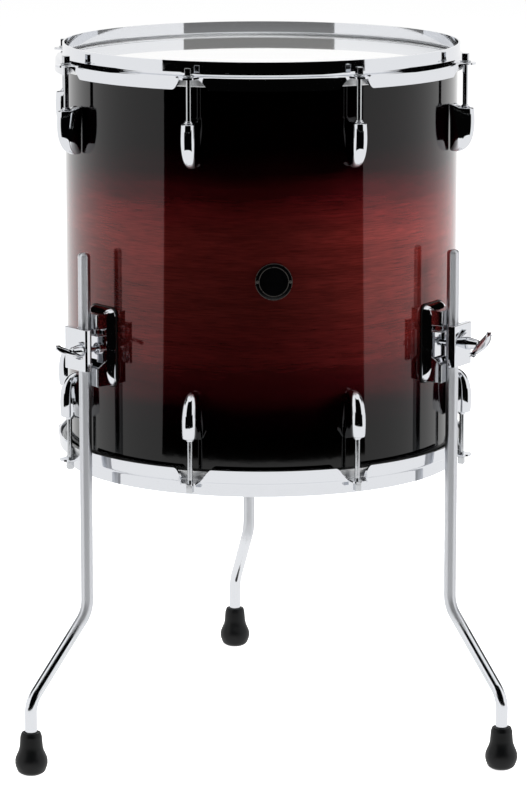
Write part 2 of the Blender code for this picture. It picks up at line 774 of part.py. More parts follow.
def foot_profile():
    """A pear-shaped rubber foot with a blind bore for the leg."""
    bore = around(LEG_RADIUS + GAP, FOOT_SIDES)
    return [
        (bore, FOOT_HEIGHT),
        (FOOT_MOUTH, FOOT_HEIGHT),
        (FOOT_WAIST - 0.9 * MM, FOOT_HEIGHT * 0.88),
        (FOOT_WAIST, FOOT_HEIGHT * 0.68),
        (FOOT_WAIST + 0.2 * (FOOT_BULB - FOOT_WAIST), FOOT_HEIGHT * 0.53),
        (FOOT_WAIST + 0.6 * (FOOT_BULB - FOOT_WAIST), FOOT_HEIGHT * 0.40),
        (FOOT_BULB, FOOT_HEIGHT * 0.27),
        (FOOT_BULB * 0.97, FOOT_HEIGHT * 0.15),
        (FOOT_BULB * 0.88, FOOT_HEIGHT * 0.06),
        (FOOT_SOLE, 0),
        (0, 0),
    ]


def foot_mesh():
    mesh = turned_mesh("foot", foot_profile(), FOOT_SIDES, False)
    bm = bmesh.new()
    bm.from_mesh(mesh)
    rim = [edge for edge in bm.edges if edge.is_boundary]
    inner = bmesh.ops.extrude_edge_only(bm, edges=rim)
    lowered = [item for item in inner["geom"] if isinstance(item, bmesh.types.BMVert)]
    bmesh.ops.translate(bm, vec=(0, 0, FOOT_FLOOR - FOOT_HEIGHT), verts=lowered)
    floor = [edge for edge in bm.edges if edge.is_boundary]
    bmesh.ops.contextual_create(bm, geom=floor)
    bmesh.ops.recalc_face_normals(bm, faces=bm.faces[:])
    bm.to_mesh(mesh)
    bm.free()
    smooth(mesh, radians(50))
    return mesh


def build_legs(parent):
    rod = leg_mesh()
    rubber = foot_mesh()
    for side, angle, swivel in LEG_PLACES:
        leg = add_object("%s_leg" % side, rod, parent, CHROME)
        leg.location = (LEG_CIRCLE * sin(angle), -LEG_CIRCLE * cos(angle), 0)
        leg.rotation_euler.z = angle + swivel - pi / 2
        foot = add_object("%s_foot" % side, rubber, leg, RUBBER)
        foot.location.x = LEG_SHIFT


# Brackets, drawn from the leg's axis at the bracket's middle

def shell_cutter(name, clearance):
    """A cylinder of the shell's size plus a clearance, seen from the leg's axis."""
    tall = BRACKET_HEIGHT
    bm = bmesh.new()
    add_cylinder(bm, around(SHELL_RADIUS + clearance, SHELL_SIDES), (-LEG_CIRCLE, 0, -tall),
                 (-LEG_CIRCLE, 0, tall), SHELL_SIDES)
    return mesh_from(name, bm)


def groove_cutter():
    """The V-groove that holds the leg: a square bar on edge, round the leg and its clearance."""
    tall = BRACKET_HEIGHT
    return cylinder_mesh("groove", (LEG_RADIUS + GAP) * 2 ** 0.5, (0, 0, -tall), (0, 0, tall), 4)


def bolt_cutter():
    reach = LEG_OUTSET + JAW_FRONT
    return cylinder_mesh("bolt_hole", around(BOLT_RADIUS + GAP, SMALL_SIDES),
                         (bolt_tip() - GAP, BOLT_OFFSET, 0), (reach, BOLT_OFFSET, 0), SMALL_SIDES)


def flange_front():
    """The front of the bracket's flange, behind the leg's axis."""
    return -LEG_OUTSET + 2 * GAP + GASKET_THICKNESS + FLANGE_THICKNESS


def boss_front():
    return -(LEG_RADIUS + 3 * GAP)


def bolt_tip():
    return boss_front() - BOLT_REACH


def add_block(base, side, half_width, low, high, front, slope=0.0):
    """Joins a rounded block to the bracket. Its upper end slopes down to the front."""
    block = box_mesh("block", (-LEG_OUTSET - FLANGE_THICKNESS, side - half_width, low),
                     (front, side + half_width, high))
    for vertex in block.vertices:
        if vertex.co.z > low + GAP and vertex.co.x > front - GAP:
            vertex.co.z -= slope
    arm = add_object("block", block, group=CUTTERS)
    bevel(arm, min(ARM_ROUNDING, (high - low) / 3))
    shape = evaluated_mesh(arm, "block")
    bpy.data.objects.remove(arm)
    boolean(base, shape, "UNION")


def bracket_mesh():
    half = BRACKET_HEIGHT / 2
    deep = -LEG_OUTSET - FLANGE_THICKNESS
    base = add_object("bracket", plate_mesh("bracket", (deep, -BRACKET_HALF_WIDTH, -half),
                                            (flange_front(), BRACKET_HALF_WIDTH, half),
                                            FLANGE_CORNER), group=CUTTERS)
    bevel(base, FLANGE_ROUNDING, 2, radians(60))
    bake(base)
    inner_end = half - ARM_HEIGHT
    inset = FLANGE_ROUNDING / 2
    neck_end = inner_end - NECK_HEIGHT
    add_block(base, 0, ARM_HALF_WIDTH, -half + inset, -inner_end + ARM_SLOPE, -ARM_FRONT, ARM_SLOPE)
    add_block(base, 0, ARM_HALF_WIDTH, inner_end, half - inset, -ARM_FRONT)
    add_block(base, 0, NECK_HALF_WIDTH, neck_end - GAP, inner_end + ARM_ROUNDING, -ARM_FRONT - ARM_ROUNDING)
    add_block(base, 0, ARM_HALF_WIDTH, neck_end - LEDGE_THICKNESS, neck_end, -ARM_FRONT)
    add_block(base, BOLT_OFFSET, RIB_HALF_WIDTH, -inner_end, inner_end, -RIB_FRONT)
    boolean(base, cylinder_mesh("boss", BOSS_DIAMETER / 2, (deep, BOLT_OFFSET, 0),
                                (boss_front(), BOLT_OFFSET, 0), 12), "UNION")
    boolean(base, shell_cutter("back", 2 * GAP + GASKET_THICKNESS))
    boolean(base, groove_cutter())
    boolean(base, bolt_cutter())
    screw = screw_mesh("bracket_screw", 2 * GAP + GASKET_THICKNESS + FLANGE_THICKNESS / 2)
    for side in (-1, 1):
        spot = Matrix.Translation((-LEG_OUTSET, 0, side * BRACKET_SCREW_SPACING / 2))
        boolean(base, screw, "UNION", spot)
    mesh = base.data
    mesh.name = "leg_bracket"
    bpy.data.objects.remove(base)
    smooth(mesh)
    return mesh


def gasket_mesh():
    half = BRACKET_HALF_WIDTH + GASKET_MARGIN
    tall = BRACKET_HEIGHT / 2 + GASKET_MARGIN
    plate = plate_mesh("gasket", (GAP, -half, -tall), (GAP + GASKET_THICKNESS, half, tall),
                       FLANGE_CORNER + GASKET_MARGIN)
    wrap_on_shell(plate, SHELL_RADIUS, 7)
    gasket = add_object("gasket", plate, group=CUTTERS)
    for side in (-1, 1):
        level = side * BRACKET_SCREW_SPACING / 2
        boolean(gasket, cylinder_mesh("hole", around(SCREW_DIAMETER / 2 + GAP, SMALL_SIDES),
                                      (-GASKET_THICKNESS, 0, level), (2 * GASKET_THICKNESS, 0, level),
                                      SMALL_SIDES))
    mesh = gasket.data
    mesh.name = "bracket_gasket"
    bpy.data.objects.remove(gasket)
    return mesh


def jaw_mesh():
    half = JAW_HEIGHT / 2
    jaw = add_object("jaw", box_mesh("jaw", (JAW_INNER_FACE, -JAW_HEEL_SIDE, -half),
                                     (JAW_FRONT, JAW_BOLT_SIDE, half)), group=CUTTERS)
    bevel(jaw, JAW_ROUNDING)
    bake(jaw)
    boolean(jaw, groove_cutter())
    boolean(jaw, bolt_cutter())
    mesh = jaw.data
    mesh.name = "clamp_jaw"
    bpy.data.objects.remove(jaw)
    smooth(mesh)
    return mesh


def arc(start, end, bow, steps):
    """Points from start up to the end, on an arc that bows out along X. The end is left out."""
    half = (end - start) / 2
    radius = (half * half + bow * bow) / (2 * abs(bow))
    reach = asin(half / radius)
    points = []
    for step in range(steps):
        turn = reach * (2 * step / steps - 1)
        rise = radius * (cos(turn) - cos(reach))
        points.append((rise if bow > 0 else -rise, (start + end) / 2 + radius * sin(turn)))
    return points


def wings_mesh():
    """Both wings as one lens-shaped plate, its tips on the Y axis."""
    half = WING_SPAN / 2
    outer = arc(-half, half, WING_OUTER_BOW, 10)
    inner = [(x, -y) for x, y in arc(-half, half, -WING_INNER_BOW, 6)]
    curve = bpy.data.curves.new("wings", "CURVE")
    curve.dimensions = "2D"
    curve.fill_mode = "BOTH"
    curve.extrude = WING_THICKNESS / 2
    line = curve.splines.new("POLY")
    line.use_cyclic_u = True
    line.points.add(len(outer + inner) - 1)
    for point, (x, y) in zip(line.points, outer + inner):
        point.co = (x, y, 0, 1)
    wire = add_object("wings", curve, group=CUTTERS)
    mesh = evaluated_mesh(wire, "wings")
    bpy.data.objects.remove(wire)
    weld(mesh)
    return mesh


def wing_bolt_mesh():
    """Shank, hub and wings, drawn along +X from the jaw's front face."""
    bolt = add_object("bolt", cylinder_mesh("bolt", BOLT_RADIUS, (bolt_tip() - JAW_FRONT, 0, 0),
                                            (HUB_LENGTH / 2, 0, 0), SMALL_SIDES), group=CUTTERS)
    hub = cylinder_mesh("hub", HUB_DIAMETER / 2, (GAP, 0, 0), (HUB_LENGTH, 0, 0), 12,
                        top_radius=HUB_TIP_DIAMETER / 2)
    boolean(bolt, hub, "UNION")
    boolean(bolt, wings_mesh(), "UNION", Matrix.Translation((WING_TIPS, 0, 0)))
    mesh = bolt.data
    mesh.name = "wing_bolt"
    bpy.data.objects.remove(bolt)
    smooth(mesh)
    return mesh


def build_brackets(parent):
    base, gasket, jaw, wings = bracket_mesh(), gasket_mesh(), jaw_mesh(), wing_bolt_mesh()
    for side, angle, _ in LEG_PLACES:
        for name, mesh, radius, shade in (("%s_leg_bracket", base, LEG_CIRCLE, CHROME),
                                          ("%s_bracket_gasket", gasket, SHELL_RADIUS, GASKET_BLACK)):
            piece = add_object(name % side, mesh, parent, shade)
            place_on_drum(piece, radius, angle, BRACKET_LIFT)
        plate = add_object("%s_clamp_jaw" % side, jaw, parent, CHROME)
        place_on_drum(plate, LEG_CIRCLE, angle, BRACKET_LIFT)
        bolt = add_object("%s_wing_bolt" % side, wings, plate, CHROME)
        bolt.location = (JAW_FRONT, BOLT_OFFSET, 0)
        bolt.rotation_euler.x = WING_TURNS[side]


def main():
    drum = bpy.data.objects.new("drum_axis", None)
    PARTS.objects.link(drum)
    drum.location = (AXIS_X, AXIS_Y, 0)
    bpy.context.view_layer.update()
    build_shell(drum)
    build_heads(drum)
    build_hoops(drum)
    build_lugs(drum)
    build_rods(drum)
    build_badge(drum)
    build_legs(drum)
    build_brackets(drum)
    bpy.context.view_layer.update()


clear_scene()
PARTS = new_collection("floor_tom")
CUTTERS = new_collection("cutters")
LACQUER = material("cherry_lacquer", "3A0D0E", 0.08, 0.0)
HEAD_FILM = material("head_film", "F2F2EE", 0.35, 0.0)
ALUMINIUM = material("aluminium", "C9CBCD", 0.3, 1.0)
CHROME = material("chrome", "DADCDE", 0.06, 1.0)
STEEL = material("nail_steel", "B9BBBD", 0.25, 1.0)
BADGE_BLACK = material("badge_black", "141415", 0.3, 0.2)
GASKET_BLACK = material("gasket_black", "0D0D0E", 0.6, 0.0)
RUBBER = material("rubber", "1B1B1E", 0.55, 0.0)
main()
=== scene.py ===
import json
from math import asin, atan2, cos, pi, radians, sin, sqrt, tan

import bmesh
import bpy
from mathutils import Matrix, Vector

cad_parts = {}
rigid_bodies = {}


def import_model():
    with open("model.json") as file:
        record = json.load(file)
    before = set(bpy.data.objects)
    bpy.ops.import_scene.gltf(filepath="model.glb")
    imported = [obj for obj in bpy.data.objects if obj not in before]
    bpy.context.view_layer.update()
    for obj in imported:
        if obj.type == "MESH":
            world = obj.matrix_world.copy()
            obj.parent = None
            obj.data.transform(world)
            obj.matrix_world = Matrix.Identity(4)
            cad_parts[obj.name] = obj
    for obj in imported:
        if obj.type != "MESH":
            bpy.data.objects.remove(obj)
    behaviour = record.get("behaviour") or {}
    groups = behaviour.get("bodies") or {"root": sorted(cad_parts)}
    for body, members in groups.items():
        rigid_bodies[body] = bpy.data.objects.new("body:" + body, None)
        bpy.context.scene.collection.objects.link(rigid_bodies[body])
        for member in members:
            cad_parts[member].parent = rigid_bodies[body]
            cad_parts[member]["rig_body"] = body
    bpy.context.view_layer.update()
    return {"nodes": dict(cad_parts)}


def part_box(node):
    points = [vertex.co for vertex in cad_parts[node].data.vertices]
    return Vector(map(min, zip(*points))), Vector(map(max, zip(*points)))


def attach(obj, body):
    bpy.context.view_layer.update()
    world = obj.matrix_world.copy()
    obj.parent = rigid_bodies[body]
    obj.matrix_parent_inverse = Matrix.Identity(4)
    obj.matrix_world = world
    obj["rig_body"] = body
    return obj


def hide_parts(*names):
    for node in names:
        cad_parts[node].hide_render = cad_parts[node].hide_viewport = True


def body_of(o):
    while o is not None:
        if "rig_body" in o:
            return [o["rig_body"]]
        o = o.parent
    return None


# Floor tom: every CAD solid is replaced by a finer piece at the same place, and given its finish.
# A piece that sits on the shell is drawn in a frame of its own: +X points away from the drum's axis,
# +Y runs round the shell, +Z is up. Metres throughout.

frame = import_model()

MM = 0.001
INCH = 0.0254
GAP = 0.3 * MM
WELD = 0.001 * MM

# Shell and heads
SHELL_RADIUS = 8 * INCH
SHELL_DEPTH = 16 * INCH
SHELL_WALL = 6.5 * MM
SHELL_LIFT = 306 * MM
SHELL_TOP = SHELL_LIFT + SHELL_DEPTH
SHELL_MIDDLE = SHELL_LIFT + SHELL_DEPTH / 2
EDGE_BACK_CUT = 2.6 * MM
EDGE_BACK_DROP = 2.2 * MM
FILM = 0.4 * MM
COLLAR_OUTSET = 4.2 * MM
COLLAR_DROP = 7.5 * MM
CHANNEL_INSIDE = SHELL_RADIUS + 1.8 * MM
CHANNEL_OUTSIDE = CHANNEL_INSIDE + 5.2 * MM
CHANNEL_WALL = 1.3 * MM
CHANNEL_HEIGHT = 8.5 * MM
CHANNEL_LIP = 2.2 * MM

# Hoops
HOOP_STEEL = 2.0 * MM
HOOP_INSIDE = SHELL_RADIUS + 0.4 * MM
RIM_RISE = 15.6 * MM
SKIRT_INSIDE = CHANNEL_OUTSIDE + 0.8 * MM
SKIRT_DROP = 12.6 * MM
EAR_HALF_WIDTH = 6.0 * MM
EAR_FOOT_HALF_WIDTH = 16.0 * MM
EAR_MARGIN = 10.5 * MM
RIM_BEND = 4.2 * MM
SKIRT_BEND = 1.4 * MM
HOOP_EDGE_ROUND = 0.7 * MM

# Tension rods and lugs
LUGS_PER_HEAD = 8
LUG_STEP = 2 * pi / LUGS_PER_HEAD
LUG_ANGLES = [LUG_STEP * (index + 0.5) for index in range(LUGS_PER_HEAD)]
ROD_OUTSET = 16.3 * MM
ROD_CIRCLE = SHELL_RADIUS + ROD_OUTSET
ROD_RADIUS = 2.6 * MM
ROD_ENGAGEMENT = 22 * MM
ROD_SQUARE = 6.3 * MM
ROD_HEAD_HEIGHT = 7.5 * MM
WASHER_RADIUS = 5.5 * MM
WASHER_THICKNESS = 1.3 * MM
LUG_EDGE_DISTANCE = 45 * MM
LUG_LENGTH = 46 * MM
LUG_HALF_WIDTH = 7.9 * MM
LUG_NOSE = 10.7 * MM
LUG_CREST = 4.0 * MM
LUG_SCREWS = (8 * MM, 24 * MM)
SCREW_WASHER_RADIUS = 6 * MM
SCREW_HEAD_RADIUS = 4.2 * MM
SCREW_HEAD_TOP = 3.2 * MM
SCREW_SLOT_FLOOR = 2.3 * MM

# Legs, feet and their brackets
LEG_RADIUS = INCH / 4
LEG_CIRCLE = SHELL_RADIUS + 24.3 * MM
LEG_TOP = 528 * MM
LEG_BEND_TOP = 156 * MM
LEG_BEND_LOW = 75 * MM
LEG_SHIFT = 80 * MM
LEG_BEND_RADIUS = 30 * MM
LEG_END_ROUND = 3.5 * MM
LEG_SLOPE = atan2(LEG_SHIFT, LEG_BEND_TOP - LEG_BEND_LOW)
LEG_SETBACK = LEG_BEND_RADIUS * tan(LEG_SLOPE / 2)
# Side, angle round the drum, swivel of the leg, turn of the wing bolt
LEG_PLACES = (
    ("left", radians(-55.3), radians(7.6), radians(-6)),
    ("right", radians(55.3), radians(-19.0), radians(23)),
    ("rear", radians(180.0), radians(8.4), radians(9)),
)
FOOT_HEIGHT = 44 * MM
FOOT_FLOOR = 9 * MM
FOOT_WAIST = 12.1 * MM
FOOT_BULB = 16.5 * MM
BRACKET_LIFT = 431 * MM
BRACKET_HEIGHT = 80 * MM
BRACKET_HALF_WIDTH = 21 * MM
ARM_HALF_WIDTH = 16.5 * MM
ARM_FRONT = -3.5 * MM
ARM_INNER = BRACKET_HEIGHT / 2 - 20 * MM
ARM_TAPER = 13 * MM
ARM_CORNER = 1.2 * MM
BOSS_RADIUS = 6.25 * MM
GASKET_THICKNESS = 1.5 * MM
JAW_HEIGHT = 43 * MM
JAW_INNER_FACE = 5.0 * MM
JAW_FRONT = JAW_INNER_FACE + 7.4 * MM
JAW_BOLT_SIDE = 19 * MM
JAW_HEEL_SIDE = 18.5 * MM
BOLT_RADIUS = 3 * MM
BOLT_OFFSET = LEG_RADIUS + 1 * MM + BOLT_RADIUS
HUB_LENGTH = 12.5 * MM
WING_SPAN = 48 * MM
WING_TIPS = 14 * MM
WING_THICKNESS = 3.6 * MM
BADGE_RADIUS = 18.5 * MM
BADGE_THICKNESS = 1.2 * MM
NAIL_DISTANCE = BADGE_RADIUS - 2 * MM
NAIL_RADIUS = 0.7 * MM
NAIL_HEAD_RADIUS = 1.6 * MM

# The drum's two ends: name, its head's name, height of the shell's edge there, and the way out
ENDS = (("top", "batter", SHELL_TOP, 1), ("bottom", "resonant", SHELL_LIFT, -1))

# Sides of the turned pieces
SHELL_SIDES = 256
HEAD_SIDES = 192
CHANNEL_SIDES = 128
BADGE_SIDES = 96
LEG_SIDES = 48
HUB_SIDES = 32
ROD_SIDES = 24

film_low, film_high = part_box("batter_head")
DRUM_AXIS = Vector(((film_low.x + film_high.x) / 2, (film_low.y + film_high.y) / 2, 0))


# Materials

def linear(hex_colour):
    """An sRGB hex colour as linear light."""
    channels = [int(hex_colour[i:i + 2], 16) / 255 for i in (0, 2, 4)]
    return (*[c / 12.92 if c <= 0.04045 else ((c + 0.055) / 1.055) ** 2.4 for c in channels], 1)


def new_material(name):
    finish = bpy.data.materials.new(name)
    finish.use_nodes = True
    finish.node_tree.nodes.clear()
    return finish, finish.node_tree


def every(*millimetres):
    """Scale of a pattern whose patches are this large, or this large along X, Y and Z."""
    scales = [1000 / size for size in millimetres]
    return scales if len(scales) > 1 else scales[0]


def add(tree, kind, sockets=None, stops=(), **settings):
    """Adds a node, sets its properties, and fills or links its sockets.

    A node given for a socket is linked from its first output. stops are a colour ramp's
    (position, hex colour), from low to high.
    """
    made = tree.nodes.new(kind)
    for key, value in settings.items():
        setattr(made, key, value)
    for key, value in (sockets or {}).items():
        if isinstance(value, bpy.types.Node):
            value = value.outputs[0]
        if isinstance(value, bpy.types.NodeSocket):
            tree.links.new(value, made.inputs[key])
        else:
            made.inputs[key].default_value = value
    if stops:
        band = made.color_ramp.elements
        band[0].position = stops[0][0]
        band[1].position = stops[-1][0]
        for position, _ in stops[1:-1]:
            band.new(position)
        for element, (_, colour) in zip(band, stops):
            element.color = linear(colour)
    return made


def chromium(name):
    """Bright chromium plate over polished metal: a cool mirror, with polishing haze that
    clouds it slightly in patches a few millimetres across and a ripple left by the press."""
    finish, tree = new_material(name)
    place = add(tree, "ShaderNodeTexCoord").outputs["Object"]
    haze = add(tree, "ShaderNodeTexNoise", {"Vector": place, "Scale": every(6.25), "Detail": 4})
    rough = add(tree, "ShaderNodeMapRange", {"Value": haze, "From Min": 0.35, "From Max": 0.75,
                                             "To Min": 0.03, "To Max": 0.07})
    ripple = add(tree, "ShaderNodeTexNoise", {"Vector": place, "Scale": every(14.286), "Detail": 1})
    bump = add(tree, "ShaderNodeBump", {"Height": ripple, "Strength": 0.03, "Distance": 0.4 * MM})
    surface = add(tree, "ShaderNodeBsdfPrincipled", {
        "Base Color": linear("E3E5E9"), "Metallic": 1.0, "Roughness": rough, "Normal": bump})
    add(tree, "ShaderNodeOutputMaterial", {"Surface": surface})
    return finish


def tube_chromium():
    """Chromium over steel tube: the straight length was ground round and round before plating, so it
    shows soft stripes; the bent length below is bright. The tube's direction comes from the piece's
    "run" attribute."""
    finish, tree = new_material("chromium_on_steel_tube")
    run = add(tree, "ShaderNodeAttribute", attribute_name="run").outputs["Vector"]
    place = add(tree, "ShaderNodeTexCoord").outputs["Object"]
    height = add(tree, "ShaderNodeSeparateXYZ", {"Vector": place}).outputs["Z"]
    rough = add(tree, "ShaderNodeMapRange", {"Value": height, "From Min": 132 * MM, "From Max": 150 * MM,
                                             "To Min": 0.07, "To Max": 0.38})
    surface = add(tree, "ShaderNodeBsdfPrincipled", {
        "Base Color": linear("E6E8EC"), "Metallic": 1.0, "Roughness": rough,
        "Anisotropic": 1.0, "Tangent": run})
    add(tree, "ShaderNodeOutputMaterial", {"Surface": surface})
    return finish


def burst_lacquer():
    """Maple stained cherry red and sprayed black towards both edges, under gloss lacquer: the eye
    sees a dark red glow that brightens where the wood's own sheen catches the light, fine level
    grain, and a mirror skin that ripples very slightly."""
    finish, tree = new_material("burst_lacquer")
    place = add(tree, "ShaderNodeTexCoord").outputs["Object"]
    height = add(tree, "ShaderNodeSeparateXYZ", {"Vector": place}).outputs["Z"]
    # The edge of the black spray wanders by about 15 mm round the drum.
    drift = add(tree, "ShaderNodeTexNoise", {"Vector": place, "Scale": every(111.1), "Detail": 2})
    shift = add(tree, "ShaderNodeMath", {0: drift, 1: 30 * MM, 2: height}, operation="MULTIPLY_ADD")
    share = add(tree, "ShaderNodeMapRange", {
        "Value": shift, "From Min": SHELL_LIFT + 15 * MM, "From Max": SHELL_TOP + 15 * MM})
    spray = add(tree, "ShaderNodeValToRGB", {"Fac": share}, stops=(
        (0.0, "000000"), (0.11, "010000"), (0.16, "0A0002"), (0.23, "38090D"), (0.33, "5C1B1A"),
        (0.45, "60201D"), (0.60, "6F2421"), (0.66, "621A1A"), (0.71, "440C10"), (0.77, "190204"),
        (0.83, "040001"), (1.0, "000000")))
    spray.color_ramp.interpolation = "EASE"
    # Grain runs level round the shell, in streaks within broader bands.
    level = add(tree, "ShaderNodeMapping", {"Vector": place, "Scale": every(20, 20, 1.25)})
    grain = add(tree, "ShaderNodeTexNoise", {"Vector": level, "Scale": 1, "Detail": 4, "Roughness": 0.6})
    bands = add(tree, "ShaderNodeMapping", {"Vector": place, "Scale": every(83.3, 83.3, 11.11)})
    figure = add(tree, "ShaderNodeTexNoise", {"Vector": bands, "Scale": 1, "Detail": 3, "Distortion": 0.6})
    fine = add(tree, "ShaderNodeMapRange", {"Value": grain, "From Min": 0.3, "From Max": 0.7,
                                            "To Min": 0.65, "To Max": 1.35})
    broad = add(tree, "ShaderNodeMapRange", {"Value": figure, "From Min": 0.3, "From Max": 0.7,
                                             "To Min": 0.8, "To Max": 1.2})
    weight = add(tree, "ShaderNodeMath", {0: fine, 1: broad}, operation="MULTIPLY")
    stained = add(tree, "ShaderNodeVectorMath", {0: spray, "Scale": weight}, operation="SCALE")
    skin = add(tree, "ShaderNodeTexNoise", {"Vector": place, "Scale": every(9.091), "Detail": 1})
    bump = add(tree, "ShaderNodeBump", {"Height": skin, "Strength": 0.02, "Distance": 0.3 * MM})
    # The wood glows like satin and has hardly a mirror of its own: that is the coat's.
    surface = add(tree, "ShaderNodeBsdfPrincipled", {
        "Base Color": stained, "Metallic": 0.5, "Roughness": 0.08, "IOR": 1.05, "Coat Weight": 1.0,
        "Coat Roughness": 0.03, "Coat IOR": 1.4, "Normal": bump, "Coat Normal": bump})
    add(tree, "ShaderNodeOutputMaterial", {"Surface": surface})
    return finish


def bare_maple():
    """Planed maple inside the shell, left without stain: pale wood with level grain."""
    finish, tree = new_material("bare_maple")
    place = add(tree, "ShaderNodeTexCoord").outputs["Object"]
    level = add(tree, "ShaderNodeMapping", {"Vector": place, "Scale": every(25, 25, 2)})
    grain = add(tree, "ShaderNodeTexNoise", {"Vector": level, "Scale": 1, "Detail": 5})
    wood = add(tree, "ShaderNodeValToRGB", {"Fac": grain},
               stops=((0.3, "B98F62"), (0.5, "D2AE80"), (0.7, "DDBE93")))
    surface = add(tree, "ShaderNodeBsdfPrincipled", {"Base Color": wood, "Roughness": 0.45})
    add(tree, "ShaderNodeOutputMaterial", {"Surface": surface})
    return finish


def polyester_film():
    """White polyester drumhead film, drawn smooth: glossy, with faint clouding in the white."""
    finish, tree = new_material("polyester_film")
    place = add(tree, "ShaderNodeTexCoord").outputs["Object"]
    cloud = add(tree, "ShaderNodeTexNoise", {"Vector": place, "Scale": every(71.43), "Detail": 3})
    white = add(tree, "ShaderNodeValToRGB", {"Fac": cloud}, stops=((0.35, "E9E9E8"), (0.65, "EDEDEC")))
    tooth = add(tree, "ShaderNodeTexNoise", {"Vector": place, "Scale": every(1.111), "Detail": 2})
    bump = add(tree, "ShaderNodeBump", {"Height": tooth, "Strength": 0.01, "Distance": 0.1 * MM})
    surface = add(tree, "ShaderNodeBsdfPrincipled", {
        "Base Color": white, "Roughness": 0.04, "IOR": 1.6, "Coat Weight": 1.0, "Coat Roughness": 0.02,
        "Normal": bump})
    add(tree, "ShaderNodeOutputMaterial", {"Surface": surface})
    return finish


def drawn_aluminium():
    """Aluminium channel, rolled to a ring: satin metal with fine lines that run round it."""
    finish, tree = new_material("drawn_aluminium")
    place = add(tree, "ShaderNodeTexCoord").outputs["Object"]
    level = add(tree, "ShaderNodeMapping", {"Vector": place, "Scale": every(33.33, 33.33, 0.4)})
    lines = add(tree, "ShaderNodeTexNoise", {"Vector": level, "Scale": 1, "Detail": 3})
    rough = add(tree, "ShaderNodeMapRange", {"Value": lines, "To Min": 0.34, "To Max": 0.5})
    surface = add(tree, "ShaderNodeBsdfPrincipled", {
        "Base Color": linear("F0F1F2"), "Metallic": 1.0, "Roughness": rough})
    add(tree, "ShaderNodeOutputMaterial", {"Surface": surface})
    return finish


def moulded_rubber(name, colour):
    """Black moulded rubber: soft sheen, a fine eggshell skin from the mould."""
    finish, tree = new_material(name)
    place = add(tree, "ShaderNodeTexCoord").outputs["Object"]
    skin = add(tree, "ShaderNodeTexNoise", {"Vector": place, "Scale": every(0.7143), "Detail": 3})
    cloud = add(tree, "ShaderNodeTexNoise", {"Vector": place, "Scale": every(11.11), "Detail": 3})
    rough = add(tree, "ShaderNodeMapRange", {"Value": cloud, "To Min": 0.34, "To Max": 0.5})
    bump = add(tree, "ShaderNodeBump", {"Height": skin, "Strength": 0.25, "Distance": 0.15 * MM})
    surface = add(tree, "ShaderNodeBsdfPrincipled", {
        "Base Color": linear(colour), "Roughness": rough, "Specular IOR Level": 0.3,
        "Normal": bump})
    add(tree, "ShaderNodeOutputMaterial", {"Surface": surface})
    return finish


def plated_steel(name, colour, low, high):
    """Dull plating over steel: it mirrors softly, and finger marks change its gloss in patches."""
    finish, tree = new_material(name)
    place = add(tree, "ShaderNodeTexCoord").outputs["Object"]
    marks = add(tree, "ShaderNodeTexNoise", {"Vector": place, "Scale": every(4.545), "Detail": 3})
    rough = add(tree, "ShaderNodeMapRange", {"Value": marks, "From Min": 0.35, "From Max": 0.7,
                                             "To Min": low, "To Max": high})
    surface = add(tree, "ShaderNodeBsdfPrincipled", {
        "Base Color": linear(colour), "Metallic": 1.0, "Roughness": rough})
    add(tree, "ShaderNodeOutputMaterial", {"Surface": surface})
    return finish


def badge_enamel():
    """Black enamel on the badge: deep gloss over fine turned rings."""
    finish, tree = new_material("badge_enamel")
    place = add(tree, "ShaderNodeTexCoord").outputs["Object"]
    centred = add(tree, "ShaderNodeMapping", {
        "Vector": place, "Location": (-DRUM_AXIS.x, 0, -SHELL_MIDDLE), "Scale": (1, 0, 1)})
    reach = add(tree, "ShaderNodeVectorMath", {0: centred}, operation="LENGTH").outputs["Value"]
    # The rings are drawn 0.9 mm apart, as finer ones don't show in the render.
    rings = add(tree, "ShaderNodeMath", {0: reach, 1: 2 * pi / (0.9 * MM)}, operation="MULTIPLY")
    wave = add(tree, "ShaderNodeMath", {0: rings}, operation="SINE")
    bump = add(tree, "ShaderNodeBump", {"Height": wave, "Strength": 0.12, "Distance": 0.1 * MM})
    surface = add(tree, "ShaderNodeBsdfPrincipled", {
        "Base Color": linear("060607"), "Roughness": 0.08, "Normal": bump})
    add(tree, "ShaderNodeOutputMaterial", {"Surface": surface})
    return finish


CHROME_PRESSED = chromium("chromium_on_steel")
CHROME_CAST = chromium("chromium_on_cast_zinc")
CHROME_TUBE = tube_chromium()
LACQUER = burst_lacquer()
MAPLE = bare_maple()
FILM_WHITE = polyester_film()
ALUMINIUM = drawn_aluminium()
RUBBER = moulded_rubber("foot_rubber", "020304")
GASKET_RUBBER = moulded_rubber("gasket_rubber", "030303")
ENAMEL = badge_enamel()
ROD_STEEL = plated_steel("nickel_on_rod", "CCCED1", 0.06, 0.12)
BADGE_METAL = plated_steel("nickel_on_badge", "5A5754", 0.25, 0.38)


# Shapes

def on_drum(radius, angle, height, upside_down=False):
    """Where a piece's own frame stands: at this angle round the drum, measured from the badge."""
    spot = DRUM_AXIS + Vector((radius * sin(angle), -radius * cos(angle), height))
    flip = Matrix.Rotation(pi if upside_down else 0, 4, "X")
    return Matrix.Translation(spot) @ Matrix.Rotation(angle - pi / 2, 4, "Z") @ flip


def as_object(name, bm, finishes=()):
    """Makes the shape an object of the scene."""
    mesh = bpy.data.meshes.new(name)
    bm.to_mesh(mesh)
    bm.free()
    for finish in finishes:
        mesh.materials.append(finish)
    item = bpy.data.objects.new(name, mesh)
    bpy.context.scene.collection.objects.link(item)
    return item


def modified(item):
    """The shape of an object with its modifier applied."""
    bpy.context.view_layer.update()
    mesh = bpy.data.meshes.new_from_object(item.evaluated_get(bpy.context.evaluated_depsgraph_get()))
    bm = bmesh.new()
    bm.from_mesh(mesh)
    bpy.data.meshes.remove(mesh)
    return bm


